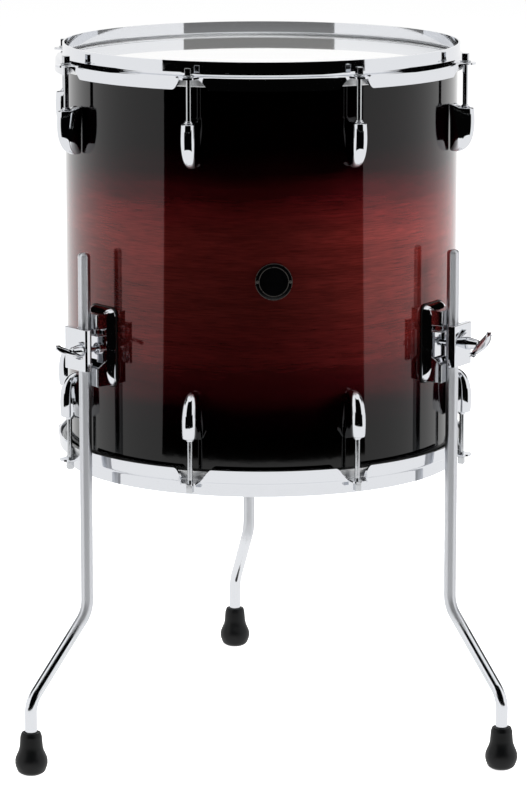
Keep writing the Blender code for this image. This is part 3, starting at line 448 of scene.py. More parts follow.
def discard(item):
    mesh = item.data
    bpy.data.objects.remove(item)
    bpy.data.meshes.remove(mesh)


def moved(bm, place):
    bmesh.ops.transform(bm, matrix=place, verts=bm.verts[:])
    return bm


def dress(name, bm, nodes, finishes, place, sharp=40, subdivide=0, run=None):
    """Makes the mesh a piece that stands for the nodes and rides on their body.

    run gives the direction of a tube at each height of its own frame.
    """
    if run:
        layer = bm.verts.layers.float_vector.new("run")
        for vert in bm.verts:
            vert[layer] = place.to_3x3() @ run(vert.co.z)
    bmesh.ops.remove_doubles(bm, verts=bm.verts[:], dist=WELD)
    bmesh.ops.recalc_face_normals(bm, faces=bm.faces[:])
    item = as_object(name, moved(bm, place), finishes)
    item.data.shade_smooth()
    item.data.set_sharp_from_angle(angle=radians(sharp))
    if subdivide:
        step = item.modifiers.new("smooth", "SUBSURF")
        step.levels = step.render_levels = subdivide
    # Large faces keep their own direction, so that a rounded edge doesn't bend what they mirror.
    step = item.modifiers.new("even", "WEIGHTED_NORMAL")
    step.keep_sharp = True
    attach(item, body_of(frame["nodes"][nodes[0]])[0])
    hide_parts(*nodes)


def rounded(corners, steps=4):
    """An outline with its corners rounded. Each corner is (x, y, radius)."""
    points = []
    for i, (x, y, radius) in enumerate(corners):
        here = Vector((x, y))
        if not radius:
            points.append(here)
            continue
        back = (Vector(corners[i - 1][:2]) - here).normalized()
        onward = (Vector(corners[(i + 1) % len(corners)][:2]) - here).normalized()
        half = back.angle(onward) / 2
        middle = here + (back + onward).normalized() * (radius / sin(half))
        first = here + back * (radius / tan(half)) - middle
        last = here + onward * (radius / tan(half)) - middle
        start = atan2(first.y, first.x)
        sweep = (atan2(last.y, last.x) - start + pi) % (2 * pi) - pi
        for step in range(steps + 1):
            turn = start + sweep * step / steps
            points.append(middle + Vector((cos(turn), sin(turn))) * radius)
    return points


def rectangle(low_x, low_y, high_x, high_y, corner=0, steps=4):
    return rounded([(low_x, low_y, corner), (high_x, low_y, corner), (high_x, high_y, corner),
                    (low_x, high_y, corner)], steps)


def wire(bm, points, closed):
    """A chain of edges through the points."""
    verts = [bm.verts.new(point) for point in points]
    ends = verts[1:] + verts[:1] if closed else verts[1:]
    return verts, [bm.edges.new(pair) for pair in zip(verts, ends)]


def only(kind, items):
    return [item for item in items if isinstance(item, kind)]


def turned(profile, sides, closed):
    """Spins an outline of (radius, height) about Z."""
    bm = bmesh.new()
    verts, edges = wire(bm, [(radius, 0, height) for radius, height in profile], closed)
    bmesh.ops.spin(bm, geom=verts + edges, cent=(0, 0, 0), axis=(0, 0, 1), angle=2 * pi, steps=sides,
                   use_merge=True)
    bmesh.ops.remove_doubles(bm, verts=bm.verts[:], dist=WELD)
    bmesh.ops.recalc_face_normals(bm, faces=bm.faces[:])
    return bm


def along_x(bm):
    """Lays a turned shape's axis along +X."""
    bmesh.ops.rotate(bm, cent=(0, 0, 0), matrix=Matrix.Rotation(pi / 2, 3, "Y"), verts=bm.verts[:])
    return bm


def slab(outline, low, high):
    """A plate with this outline as seen from above."""
    bm = bmesh.new()
    verts, _ = wire(bm, [(x, y, low) for x, y in outline], True)
    base = bm.faces.new(verts)
    grown = bmesh.ops.extrude_face_region(bm, geom=[base])["geom"]
    bmesh.ops.translate(bm, vec=(0, 0, high - low), verts=only(bmesh.types.BMVert, grown))
    bmesh.ops.recalc_face_normals(bm, faces=bm.faces[:])
    return bm


def loft(outlines):
    """A solid through these outlines, closed at both ends, and its vertices outline by outline."""
    bm = bmesh.new()
    loops = [wire(bm, outline, True) for outline in outlines]
    for (_, here), (_, there) in zip(loops, loops[1:]):
        bmesh.ops.bridge_loops(bm, edges=here + there)
    for verts, _ in (loops[0], loops[-1]):
        bmesh.ops.contextual_create(bm, geom=verts)
    return bm, [verts for verts, _ in loops]


def soften(bm, width, segments=3, above=28):
    """Rounds the edges that turn by more than an angle."""
    edges = [edge for edge in bm.edges if edge.is_manifold and edge.calc_face_angle(0) > radians(above)]
    bmesh.ops.bevel(bm, geom=edges, offset=width, offset_type="OFFSET", segments=segments, profile=0.5,
                    affect="EDGES", material=-1, clamp_overlap=True)
    return bm


def join(bm, *others):
    """Adds other shapes to the first one, as closed bodies of their own."""
    for other in others:
        mesh = bpy.data.meshes.new("joined")
        other.to_mesh(mesh)
        other.free()
        bm.from_mesh(mesh)
        bpy.data.meshes.remove(mesh)
    return bm


def cut(bm, tool):
    """Takes the tool's shape out of the piece."""
    for shape in (bm, tool):
        bmesh.ops.recalc_face_normals(shape, faces=shape.faces[:])
    blank = as_object("blank", bm)
    cutter = as_object("cutter", tool)
    step = blank.modifiers.new("cut", "BOOLEAN")
    step.object = cutter
    step.solver = "EXACT"
    result = modified(blank)
    discard(blank)
    discard(cutter)
    return result


def thicken(bm, thickness):
    """Gives a sheet its thickness, half on each side."""
    bmesh.ops.recalc_face_normals(bm, faces=bm.faces[:])
    sheet = as_object("sheet", bm)
    step = sheet.modifiers.new("thickness", "SOLIDIFY")
    step.thickness = thickness
    step.offset = 0
    result = modified(sheet)
    discard(sheet)
    return result


def bar(radius, start, end, sides):
    """A round bar from start to end."""
    bm = bmesh.new()
    along = Vector(end) - Vector(start)
    middle = Matrix.Translation((Vector(start) + Vector(end)) / 2)
    aim = along.to_track_quat("Z", "Y").to_matrix().to_4x4()
    bmesh.ops.create_cone(bm, cap_ends=True, segments=sides, radius1=radius, radius2=radius,
                          depth=along.length, matrix=middle @ aim)
    return bm


def sliced(bm, half, strips):
    """Divides a shape that is two halves wide along Y into strips, so that it can bend."""
    for index in range(1, strips):
        bmesh.ops.bisect_plane(bm, geom=bm.verts[:] + bm.edges[:] + bm.faces[:], dist=WELD,
                               plane_co=(0, half * (2 * index / strips - 1), 0), plane_no=(0, 1, 0))
    return bm


def wrap_on_shell(bm, radius, strips):
    """Bends a flat plate round the drum. The plate lies in the YZ plane, its thickness along X."""
    sliced(bm, max(vert.co.y for vert in bm.verts), strips)
    for vert in bm.verts:
        turn = vert.co.y / radius
        reach = radius + vert.co.x
        vert.co.x = reach * cos(turn) - SHELL_RADIUS
        vert.co.y = reach * sin(turn)
    return bm


# Shell: a plain tube with bearing edges, lacquered outside and bare inside

def shell_shape():
    peak = SHELL_RADIUS - EDGE_BACK_CUT
    inside = SHELL_RADIUS - SHELL_WALL
    drop = peak - inside
    corner = 0.6 * MM
    bm = turned(rounded([
        (SHELL_RADIUS, SHELL_DEPTH - EDGE_BACK_DROP, corner), (SHELL_RADIUS, EDGE_BACK_DROP, corner),
        (peak, 0, corner / 2), (inside, drop, corner), (inside, SHELL_DEPTH - drop, corner),
        (peak, SHELL_DEPTH, corner / 2)], 2), SHELL_SIDES, True)
    for face in bm.faces:
        middle = face.calc_center_median()
        face.material_index = 0 if Vector((middle.x, middle.y)).length > peak + 0.1 * MM else 1
    return bm


dress("lacquered_shell", shell_shape(), ["shell"], [LACQUER, MAPLE],
      Matrix.Translation(DRUM_AXIS + Vector((0, 0, SHELL_LIFT))))


# Heads and flesh hoops, drawn with the peak of the bearing edge at height 0

def head_shape():
    peak = SHELL_RADIUS - EDGE_BACK_CUT
    bend = SHELL_RADIUS + 0.4 * MM
    outer = SHELL_RADIUS + COLLAR_OUTSET
    low = -(EDGE_BACK_DROP / EDGE_BACK_CUT) * (bend - peak) + GAP
    rise = GAP + FILM
    return turned(rounded([
        (0, rise, 0), (peak - 6 * MM, rise, 0), (peak, rise, 1.2 * MM), (bend, low + FILM, 0.6 * MM),
        (outer, low, 0.8 * MM), (outer, -COLLAR_DROP, 0), (outer - FILM, -COLLAR_DROP, 0),
        (outer - FILM, low - FILM, 0.4 * MM), (bend, low, 0.3 * MM), (peak, GAP, 0.6 * MM),
        (0, GAP, 0)], 3), HEAD_SIDES, False)


def flesh_hoop_shape():
    top = -HOOP_STEEL / 2 - GAP
    bottom = top - CHANNEL_HEIGHT
    floor = bottom + CHANNEL_WALL
    lip = top - CHANNEL_LIP
    round_edge = 0.35 * MM
    return turned(rounded([
        (CHANNEL_OUTSIDE, top, round_edge), (CHANNEL_OUTSIDE, bottom, 1.2 * MM),
        (CHANNEL_INSIDE, bottom, 1.2 * MM), (CHANNEL_INSIDE, lip, round_edge),
        (CHANNEL_INSIDE + CHANNEL_WALL, lip, round_edge), (CHANNEL_INSIDE + CHANNEL_WALL, floor, round_edge),
        (CHANNEL_OUTSIDE - CHANNEL_WALL, floor, round_edge),
        (CHANNEL_OUTSIDE - CHANNEL_WALL, top, round_edge)], 3), CHANNEL_SIDES, True)


for _, head, height, out in ENDS:
    place = on_drum(0, 0, height, out < 0)
    dress(head + "_film", head_shape(), [head + "_head"], [FILM_WHITE], place)
    dress(head + "_channel", flesh_hoop_shape(), [head + "_flesh_hoop"], [ALUMINIUM], place)


# Hoops: one sheet of steel, turned in profile, whose skirt swings out into eight ears

HOOP_STEPS = 8 * 96
TAB_HALF_WIDTH = 8.2 * MM
TAB_ROUNDNESS = 2.6
SKIRT_FLARE = radians(4)
SKIRT_POINTS = 20
SKIRT_POINT_STEP = 0.5 * MM
EAR_SWEEP = EAR_FOOT_HALF_WIDTH + 4 * MM
EAR_SWEEP_CURVE = 2.8


def ear_reach(side, corner):
    """How far the level part of the sheet reaches past the skirt, at a distance from an ear's middle."""
    side = abs(side)
    root = ROD_CIRCLE - corner
    if side < TAB_HALF_WIDTH:
        inside = 1 - (side / TAB_HALF_WIDTH) ** TAB_ROUNDNESS
        return root + EAR_MARGIN * inside ** (1 / TAB_ROUNDNESS)
    flare = (EAR_SWEEP - side) / (EAR_SWEEP - TAB_HALF_WIDTH)
    return root * max(0, flare) ** EAR_SWEEP_CURVE


def ear_drop(side):
    """How far the skirt hangs down there."""
    share = (abs(side) - EAR_HALF_WIDTH) / (EAR_SWEEP - EAR_HALF_WIDTH)
    share = min(1, max(0, share))
    return SKIRT_DROP * share * share * (3 - 2 * share)


def hoop_shape():
    half = HOOP_STEEL / 2
    corner = SKIRT_INSIDE + half
    wall = HOOP_INSIDE + half
    # Middle of the sheet: down the wall, out over the flesh hoop, then the points that become the skirt.
    line = rounded([(wall, RIM_RISE - 0.3 * MM, 0), (wall, 0, RIM_BEND), (corner - SKIRT_BEND, 0, 0)], 8)
    ends = [Vector((corner + SKIRT_POINT_STEP * step, 0)) for step in range(SKIRT_POINTS)]
    bm = turned(line + ends, HOOP_STEPS, False)
    for vert in bm.verts:
        radius = Vector((vert.co.x, vert.co.y)).length
        height = vert.co.z
        angle = atan2(vert.co.x, -vert.co.y)
        around = angle % LUG_STEP - LUG_STEP / 2
        # Steps are drawn together near the ears, where the shape changes.
        part = around / (LUG_STEP / 2)
        spread = (0.3 * part + 0.7 * part ** 3) * LUG_STEP / 2
        turn = angle - around + spread
        side = spread * corner
        if radius > corner - 0.1 * MM:
            share = (radius - corner) / (SKIRT_POINT_STEP * (SKIRT_POINTS - 1))
            out, drop = ear_reach(side, corner), ear_drop(side)
            # The sheet runs level, turns down on an arc and hangs straight.
            arc_radius = min(SKIRT_BEND, drop)
            level = out + SKIRT_BEND - arc_radius
            along = share * (level + arc_radius * pi / 2 + drop - arc_radius)
            if along < level:
                reach, fall = along, 0
            elif along < level + arc_radius * pi / 2:
                bend = (along - level) / arc_radius
                reach, fall = level + arc_radius * sin(bend), arc_radius * (1 - cos(bend))
            else:
                fall = along - level - arc_radius * (pi / 2 - 1)
                reach = level + arc_radius + (fall - arc_radius) * tan(SKIRT_FLARE)
            radius = corner - SKIRT_BEND + reach
            height = -fall
        vert.co = (radius * sin(turn), -radius * cos(turn), height)
    return soften(thicken(bm, HOOP_STEEL), HOOP_EDGE_ROUND, 3, 65)


hoop = hoop_shape()
for end, _, height, out in ENDS:
    dress(end + "_pressed_hoop", hoop.copy(), [end + "_hoop"], [CHROME_PRESSED],
          on_drum(0, 0, height, out < 0) @ Matrix.Rotation(pi / 2, 4, "Z"), sharp=50)
hoop.free()


# Lugs: drop-shaped castings round the rod

def lug_section(down, deep, wide, ridge):
    """One level of the casting. The shares are of the lug's own depth and half width."""
    front = (ROD_OUTSET + LUG_NOSE) * deep
    half = LUG_HALF_WIDTH * wide
    flank = front - min(half, 0.6 * front)
    crest = GAP + ridge * (flank - GAP)
    height = LUG_LENGTH * (0.5 - down)
    rise = LUG_CREST if down <= 0.01 else 0
    side = [
        (front - 0.3 * half, 0.72 * half, height),
        (flank, half, height),
        ((flank + crest) / 2, 0.99 * half, height),
        (crest, 0.99 * half, height + rise),
        (GAP, 1.03 * half, height + 0.8 * rise),
    ]
    return [(front, 0, height)] + side + [(x, -y, z) for x, y, z in reversed(side)]


def lug_shape():
    # Share of the length from the flat end, depth, width, and how far out the ridge behind the rod runs
    levels = [
        (0.00, 0.92, 0.88, 0.24),
        (0.01, 0.97, 0.94, 0.25),
        (0.05, 0.98, 0.97, 0.30),
        (0.28, 1.01, 1.02, 0.58),
        (0.54, 0.99, 0.99, 0.82),
        (0.76, 0.89, 0.85, 0.90),
        (0.91, 0.71, 0.65, 0.86),
        (1.00, 0.42, 0.40, 0.76),
    ]
    bm, loops = loft([lug_section(*level) for level in levels])
    creases = bm.edges.layers.float.new("crease_edge")
    for verts in loops[2:-1]:
        # The crest keeps a soft edge down both of its sides.
        for index in (4, 7):
            for edge in verts[index].link_edges:
                other = edge.other_vert(verts[index])
                if abs(other.co.z - verts[index].co.z) > 2 * MM:
                    edge[creases] = 0.5
    return bm


def lug_fittings():
    """The swivel nut's collar on the flat end, and the heads of two screws with washers inside the shell."""
    flat_end = LUG_LENGTH / 2
    bore = ROD_RADIUS + GAP
    collar = turned(rounded([(bore, flat_end - 1 * MM, 0), (bore + 2 * MM, flat_end - 1 * MM, 0),
                             (bore + 2 * MM, flat_end + 1.2 * MM, 0.5 * MM),
                             (bore + 0.9 * MM, flat_end + 1.2 * MM, 0.2 * MM),
                             (bore + 0.7 * MM, flat_end + 2.6 * MM, 0.3 * MM),
                             (bore, flat_end + 2.6 * MM, 0.2 * MM)], 3), ROD_SIDES, True)
    bmesh.ops.translate(collar, vec=(ROD_OUTSET, 0, 0), verts=collar.verts[:])
    seat = -SHELL_WALL - 2 * GAP
    for depth in LUG_SCREWS:
        place = Matrix.Translation((seat, 0, flat_end - depth)) @ Matrix.Rotation(-pi / 2, 4, "Y")
        join(collar, moved(screw_head(), place))
    return collar


def screw_head():
    """A round-headed screw on its washer, drawn upwards from the washer's seat."""
    washer = 1 * MM
    bm = turned(rounded([
        (0, 0, 0), (SCREW_WASHER_RADIUS, 0, 0.2 * MM), (SCREW_WASHER_RADIUS, washer, 0.3 * MM),
        (SCREW_HEAD_RADIUS, washer, 0), (SCREW_HEAD_RADIUS - 0.1 * MM, 1.8 * MM, 1 * MM),
        (2 * MM, SCREW_HEAD_TOP, 3 * MM), (0, SCREW_HEAD_TOP, 0)], 3), HUB_SIDES, False)
    slot = rectangle(-0.5 * MM, -5 * MM, 0.5 * MM, 5 * MM)
    return cut(bm, slab(slot, SCREW_SLOT_FLOOR, 5 * MM))


lug = lug_shape()
fittings = lug_fittings()
for index, angle in enumerate(LUG_ANGLES):
    for end, _, height, out in ENDS:
        node = "%s_lug_%d" % (end, index + 1)
        middle = height - out * (LUG_EDGE_DISTANCE + LUG_LENGTH / 2)
        place = on_drum(SHELL_RADIUS, angle, middle, out < 0)
        dress(node + "_casting", lug.copy(), [node], [CHROME_CAST], place, sharp=80, subdivide=2)
        dress(node + "_nut_and_screws", fittings.copy(), [node], [CHROME_PRESSED], place)
lug.free()
fittings.free()


# Tension rods, drawn head up with the ear's face at height 0

def rod_shape():
    end = -(LUG_EDGE_DISTANCE + HOOP_STEEL / 2 + ROD_ENGAGEMENT)
    seat = GAP + WASHER_THICKNESS
    bm = turned(rounded([(0, end, 0), (ROD_RADIUS, end, 0.6 * MM), (ROD_RADIUS, seat, 0), (0, seat, 0)], 2),
                ROD_SIDES, False)
    edge = 0.4 * MM
    washer = turned(rounded([(ROD_RADIUS, seat, 0), (WASHER_RADIUS, seat, edge), (WASHER_RADIUS, GAP, edge),
                             (ROD_RADIUS, GAP, 0)], 3), HUB_SIDES, True)
    half = ROD_SQUARE / 2
    head = slab(rectangle(-half, -half, half, half), seat, seat + ROD_HEAD_HEIGHT)
    soften(head, 0.5 * MM, 3)
    return join(bm, washer, head)


rod = rod_shape()
for index, angle in enumerate(LUG_ANGLES):
    for end, _, height, out in ENDS:
        node = "%s_tension_rod_%d" % (end, index + 1)
        dress(node + "_steel", rod.copy(), [node], [ROD_STEEL],
              on_drum(ROD_CIRCLE, angle, height + out * HOOP_STEEL / 2, out < 0))
rod.free()


# Legs and feet, drawn from the leg's upper axis with the foot towards +X

def leg_shape():
    bm = bmesh.new()
    start = bmesh.ops.create_circle(bm, cap_ends=False, radius=LEG_RADIUS, segments=LEG_SIDES,
                                    matrix=Matrix.Translation((0, 0, LEG_TOP - LEG_END_ROUND)))
    ring = start["verts"] + bm.edges[:]
    # The domed end, in four rings
    rim = bm.edges[:]
    radius = LEG_RADIUS
    height = 0
    for turn in (radians(20 * step) for step in range(1, 5)):
        grown = bmesh.ops.extrude_edge_only(bm, edges=rim)["geom"]
        cap = only(bmesh.types.BMVert, grown)
        rim = [edge for edge in only(bmesh.types.BMEdge, grown) if edge.is_boundary]
        narrow = LEG_RADIUS - LEG_END_ROUND * (1 - cos(turn))
        bmesh.ops.translate(bm, vec=(0, 0, LEG_END_ROUND * sin(turn) - height), verts=cap)
        bmesh.ops.scale(bm, vec=(narrow / radius, narrow / radius, 1), verts=cap)
        radius = narrow
        height = LEG_END_ROUND * sin(turn)
    bmesh.ops.contextual_create(bm, geom=cap)

    def onward(ring, vec):
        grown = bmesh.ops.extrude_edge_only(bm, edges=only(bmesh.types.BMEdge, ring))["geom"]
        verts = only(bmesh.types.BMVert, grown)
        bmesh.ops.translate(bm, vec=vec, verts=verts)
        return verts + list({edge for vert in verts for edge in vert.link_edges if edge.is_boundary})

    def bend(ring, centre, angle):
        return bmesh.ops.spin(bm, geom=ring, cent=centre, axis=(0, 1, 0), angle=angle, steps=14)["geom_last"]

    high = LEG_BEND_TOP + LEG_SETBACK
    low = LEG_BEND_LOW - LEG_SETBACK
    across = LEG_BEND_RADIUS * (1 - cos(LEG_SLOPE))
    down = LEG_BEND_RADIUS * sin(LEG_SLOPE)
    ring = onward(ring, (0, 0, high - LEG_TOP + LEG_END_ROUND))
    ring = bend(ring, (LEG_BEND_RADIUS, 0, high), -LEG_SLOPE)
    ring = onward(ring, (LEG_SHIFT - 2 * across, 0, low - high + 2 * down))
    ring = bend(ring, (LEG_SHIFT - LEG_BEND_RADIUS, 0, low), LEG_SLOPE)
    ring = onward(ring, (0, 0, FOOT_FLOOR + GAP - low))
    bmesh.ops.contextual_create(bm, geom=only(bmesh.types.BMVert, ring))
    return bm


def leg_run(height):
    """Direction of the leg's tube at this height."""
    bend_height = LEG_BEND_RADIUS * sin(LEG_SLOPE)
    upper = (LEG_BEND_TOP + LEG_SETBACK - height) / bend_height
    lower = (height - LEG_BEND_LOW + LEG_SETBACK) / bend_height
    turn = LEG_SLOPE * min(1, max(0, min(upper, lower)))
    return Vector((sin(turn), 0, -cos(turn)))


def foot_shape():
    bore = LEG_RADIUS + GAP
    profile = rounded([
        (0, FOOT_FLOOR, 0), (bore, FOOT_FLOOR, 0), (bore, FOOT_HEIGHT - 0.6 * MM, 0.8 * MM),
        (9.6 * MM, FOOT_HEIGHT + 0.1 * MM, 1.3 * MM), (FOOT_WAIST - 1 * MM, FOOT_HEIGHT * 0.90, 2.5 * MM),
        (FOOT_WAIST, FOOT_HEIGHT * 0.60, 22 * MM), (FOOT_BULB + 1.5 * MM, FOOT_HEIGHT * 0.30, 16 * MM),
        (FOOT_BULB - 2.8 * MM, FOOT_HEIGHT * 0.05, 7 * MM), (9.5 * MM, 0, 1.5 * MM), (0, 0, 0)], 8)
    return turned(profile, LEG_SIDES, False)


leg = leg_shape()
foot = foot_shape()
for side, angle, swivel, _ in LEG_PLACES:
    upper = DRUM_AXIS + Vector((LEG_CIRCLE * sin(angle), -LEG_CIRCLE * cos(angle), 0))
    place = Matrix.Translation(upper) @ Matrix.Rotation(angle + swivel - pi / 2, 4, "Z")
    dress(side + "_leg_tube", leg.copy(), [side + "_leg"], [CHROME_TUBE], place, run=leg_run)
    dress(side + "_foot_moulding", foot.copy(), [side + "_foot"], [RUBBER],
          place @ Matrix.Translation((LEG_SHIFT, 0, 0)), sharp=60)
leg.free()
foot.free()


# Brackets, drawn from the leg's axis at the bracket's middle

BACK = LEG_CIRCLE - SHELL_RADIUS  # the shell's outside, behind the leg's axis


def grip_outline(back):
    """An arm as seen from above, from its root to the V-shaped groove that holds the leg."""
    notch = (LEG_RADIUS + GAP) * sqrt(2)
    mouth = notch + ARM_FRONT
    return [(back, -ARM_HALF_WIDTH, 0), (ARM_FRONT, -ARM_HALF_WIDTH, ARM_CORNER),
            (ARM_FRONT, -mouth, 0.5 * MM), (-notch, 0, 2 * MM), (ARM_FRONT, mouth, 0.5 * MM),
            (ARM_FRONT, ARM_HALF_WIDTH, ARM_CORNER), (back, ARM_HALF_WIDTH, 0)]


def flange_shape(back):
    """A pillow of rounded outlines that falls off more slowly at its foot, its back bent to the shell."""
    half = BRACKET_HEIGHT / 2
    # Each outline is drawn in by a share of 20 mm at the foot and of 9 mm on the other sides.
    levels = [(back, 0), (back + 1.8 * MM, 0.03)]
    for step in range(12, 90, 12):
        levels.append((back + 9.6 * MM * sin(radians(step)), 1.03 - cos(radians(step))))
    outlines = []
    for reach, share in levels:
        side = BRACKET_HALF_WIDTH - share * 9 * MM
        outline = rectangle(share * 20 * MM - half, -side, half - share * 9 * MM, side,
                            (8 - 3 * share) * MM, 6)
        outlines.append([(reach, y, z) for z, y in outline])
    bm, _ = loft(outlines)
    sliced(bm, BRACKET_HALF_WIDTH, 8)
    seat = SHELL_RADIUS + 2 * GAP + GASKET_THICKNESS
    for vert in bm.verts:
        if vert.co.x < back + GAP:
            vert.co.x = sqrt(seat ** 2 - vert.co.y ** 2) - LEG_CIRCLE
    return bm


def bracket_shape():
    half = BRACKET_HEIGHT / 2
    back = -BACK + 1 * MM
    grip = grip_outline(back)
    upper = soften(slab(rounded(grip, 4), ARM_INNER, half - 4.5 * MM), 1 * MM, 4, 60)
    lower = slab(rounded(grip, 4), -half + 1.2 * MM, ARM_TAPER - ARM_INNER)
    for vert in lower.verts:
        if vert.co.z > -ARM_INNER:
            vert.co.z -= ARM_TAPER * (vert.co.x - back) / (ARM_FRONT - back)
    soften(lower, 1 * MM, 4, 60)
    neck_low = ARM_INNER - 5 * MM
    slim = [(x + (-2 * MM if x > back else 0), y * 0.74, r) for x, y, r in grip]
    neck = soften(slab(rounded(slim, 3), neck_low - GAP, ARM_INNER + 2 * MM), 0.8 * MM, 3, 50)
    ledge = soften(slab(rounded(grip, 3), neck_low - 2 * MM, neck_low), 0.6 * MM, 3, 50)
    rib = rectangle(back, BOLT_OFFSET - 6 * MM, -11 * MM, BOLT_OFFSET + 6 * MM)
    rib = soften(slab(rib, -ARM_INNER, ARM_INNER), 2 * MM, 4)
    boss_front = BACK - LEG_RADIUS - 4 * GAP
    bore = BOLT_RADIUS + 0.4 * MM
    bore_floor = BACK - LEG_RADIUS - 12 * MM
    boss = turned(rounded([(0, 0, 0), (BOSS_RADIUS, 0, 0), (BOSS_RADIUS, boss_front, 0.8 * MM),
                           (bore, boss_front, 0.3 * MM), (bore, bore_floor, 0), (0, bore_floor, 0)], 3),
                  HUB_SIDES, False)
    moved(along_x(boss), Matrix.Translation((back, BOLT_OFFSET, 0)))
    return join(flange_shape(back), upper, lower, neck, ledge, rib, boss)


def gasket_shape():
    half = BRACKET_HALF_WIDTH + 1 * MM
    tall = BRACKET_HEIGHT / 2 + 1 * MM
    bm = along_x(slab(rectangle(-tall, -half, tall, half, 7 * MM, 6), 0, GASKET_THICKNESS))
    bmesh.ops.translate(bm, vec=(GAP, 0, 0), verts=bm.verts[:])
    soften(bm, 0.4 * MM, 2, 60)
    return wrap_on_shell(bm, SHELL_RADIUS, 12)


def jaw_shape():
    half = JAW_HEIGHT / 2
    notch = (LEG_RADIUS + GAP) * sqrt(2)
    mouth = notch - JAW_INNER_FACE
    outline = [(JAW_INNER_FACE, -JAW_HEEL_SIDE, 0.6 * MM), (JAW_FRONT, -JAW_HEEL_SIDE, 2.2 * MM),
               (JAW_FRONT, JAW_BOLT_SIDE, 2.2 * MM), (JAW_INNER_FACE, JAW_BOLT_SIDE, 0.6 * MM),
               (JAW_INNER_FACE, mouth, 0.5 * MM), (notch, 0, 1 * MM), (JAW_INNER_FACE, -mouth, 0.5 * MM)]
    bm = soften(slab(rounded(outline, 4), -half, half), 1.4 * MM, 4, 60)
    return cut(bm, bar(BOLT_RADIUS + GAP, (0, BOLT_OFFSET, 0), (2 * JAW_FRONT, BOLT_OFFSET, 0), ROD_SIDES))


def arc(start, end, bow, steps):
    """Points from start up to the end, on an arc that bows out along X."""
    half = (end - start) / 2
    radius = (half * half + bow * bow) / (2 * abs(bow))
    reach = asin(half / radius)
    points = []
    for step in range(steps):
        turn = reach * (2 * step / steps - 1)
        rise = radius * (cos(turn) - cos(reach))
        points.append((rise if bow > 0 else -rise, (start + end) / 2 + radius * sin(turn)))
    return points


def wing_bolt_shape():
    """Shank, hub and wings, drawn along +X from the jaw's front face."""
    tip = -(LEG_RADIUS + 3 * GAP) - 8 * MM - JAW_FRONT
    bolt = turned(rounded([(0, tip, 0), (BOLT_RADIUS, tip, 0.8 * MM), (BOLT_RADIUS, 2 * GAP, 0),
                           (0, 2 * GAP, 0)], 2), ROD_SIDES, False)
    hub = turned(rounded([(0, GAP, 0), (6.5 * MM, GAP, 0.6 * MM), (6.2 * MM, 3 * MM, 1 * MM),
                          (4.3 * MM, HUB_LENGTH, 2 * MM), (0, HUB_LENGTH + 0.3 * MM, 0)], 4),
                 HUB_SIDES, False)
    half = WING_SPAN / 2
    outline = arc(-half, half, 9 * MM, 20) + [(x, -y) for x, y in arc(-half, half, -3 * MM, 16)]
    # The plate is drawn thinner by the height to which its faces are then domed.
    flat = WING_THICKNESS / 2 - 0.4 * MM
    wings = soften(slab(outline, -flat, flat), 1.35 * MM, 4, 60)
    broad = [face for face in wings.faces if face.calc_area() > 100 * MM * MM]
    for width, rise in ((2 * MM, 0.25 * MM), (2 * MM, 0.12 * MM), (1.5 * MM, 0.05 * MM)):
        bmesh.ops.inset_region(wings, faces=broad, thickness=width, depth=rise)
    bmesh.ops.translate(wings, vec=(WING_TIPS, 0, 0), verts=wings.verts[:])
    return join(along_x(bolt), along_x(hub), wings)


bracket = bracket_shape()
gasket = gasket_shape()
jaw = jaw_shape()
wing_bolt = wing_bolt_shape()
for side, angle, _, wing_turn in LEG_PLACES:
    place = on_drum(LEG_CIRCLE, angle, BRACKET_LIFT)
    dress(side + "_bracket_casting", bracket.copy(), [side + "_leg_bracket"], [CHROME_CAST], place)
    dress(side + "_bracket_pad", gasket.copy(), [side + "_bracket_gasket"], [GASKET_RUBBER],
          on_drum(SHELL_RADIUS, angle, BRACKET_LIFT))
    dress(side + "_jaw_casting", jaw.copy(), [side + "_clamp_jaw"], [CHROME_CAST], place)
    dress(side + "_wing_casting", wing_bolt.copy(), [side + "_wing_bolt"], [CHROME_CAST],
          place @ Matrix.Translation((JAW_FRONT, BOLT_OFFSET, 0)) @ Matrix.Rotation(wing_turn, 4, "X"))
for shape in (bracket, gasket, jaw, wing_bolt):
    shape.free()


# Badge and nails

def badge_shape():
    base = GAP
    top = GAP + BADGE_THICKNESS
    inner = BADGE_RADIUS - 0.6 * MM
    dip = top - 0.45 * MM
    # The face within the border is level, but for a raised metal ring between 14.3 and 15.1 mm.
    levels = ((3, 0.1), (5, 0.1), (7, 0.1), (9, 0.1), (11, 0.1), (13, 0.1), (14.3, 0.1), (14.5, 0.3),
              (14.9, 0.3), (15.1, 0.1), (16.6, 0.1))
    rings = [(radius * MM, dip + rise * MM, 0) for radius, rise in levels]
    border = [(inner, dip, 0.15 * MM), (inner + 0.15 * MM, top, 0.1 * MM), (BADGE_RADIUS, top, 0.25 * MM),
              (BADGE_RADIUS, base, 0)]
    under = [(radius, base, 0) for radius, _, _ in reversed(rings)]
    bm = turned(rounded([(0, dip + 0.12 * MM, 0)] + rings + border + under + [(0, base, 0)], 3),
                BADGE_SIDES, False)
    for face in bm.faces:
        middle = face.calc_center_median()
        reach = Vector((middle.x, middle.y)).length
        ring = 14.3 * MM < reach < 15.1 * MM
        face.material_index = 1 if reach > inner or ring or middle.z < base + 0.1 * MM else 0
    holes = [bar(NAIL_RADIUS + GAP, (-5 * MM, side, 0), (5 * MM, side, 0), 16)
             for side in (-NAIL_DISTANCE, NAIL_DISTANCE)]
    return wrap_on_shell(cut(along_x(bm), join(*holes)), SHELL_RADIUS, 2)


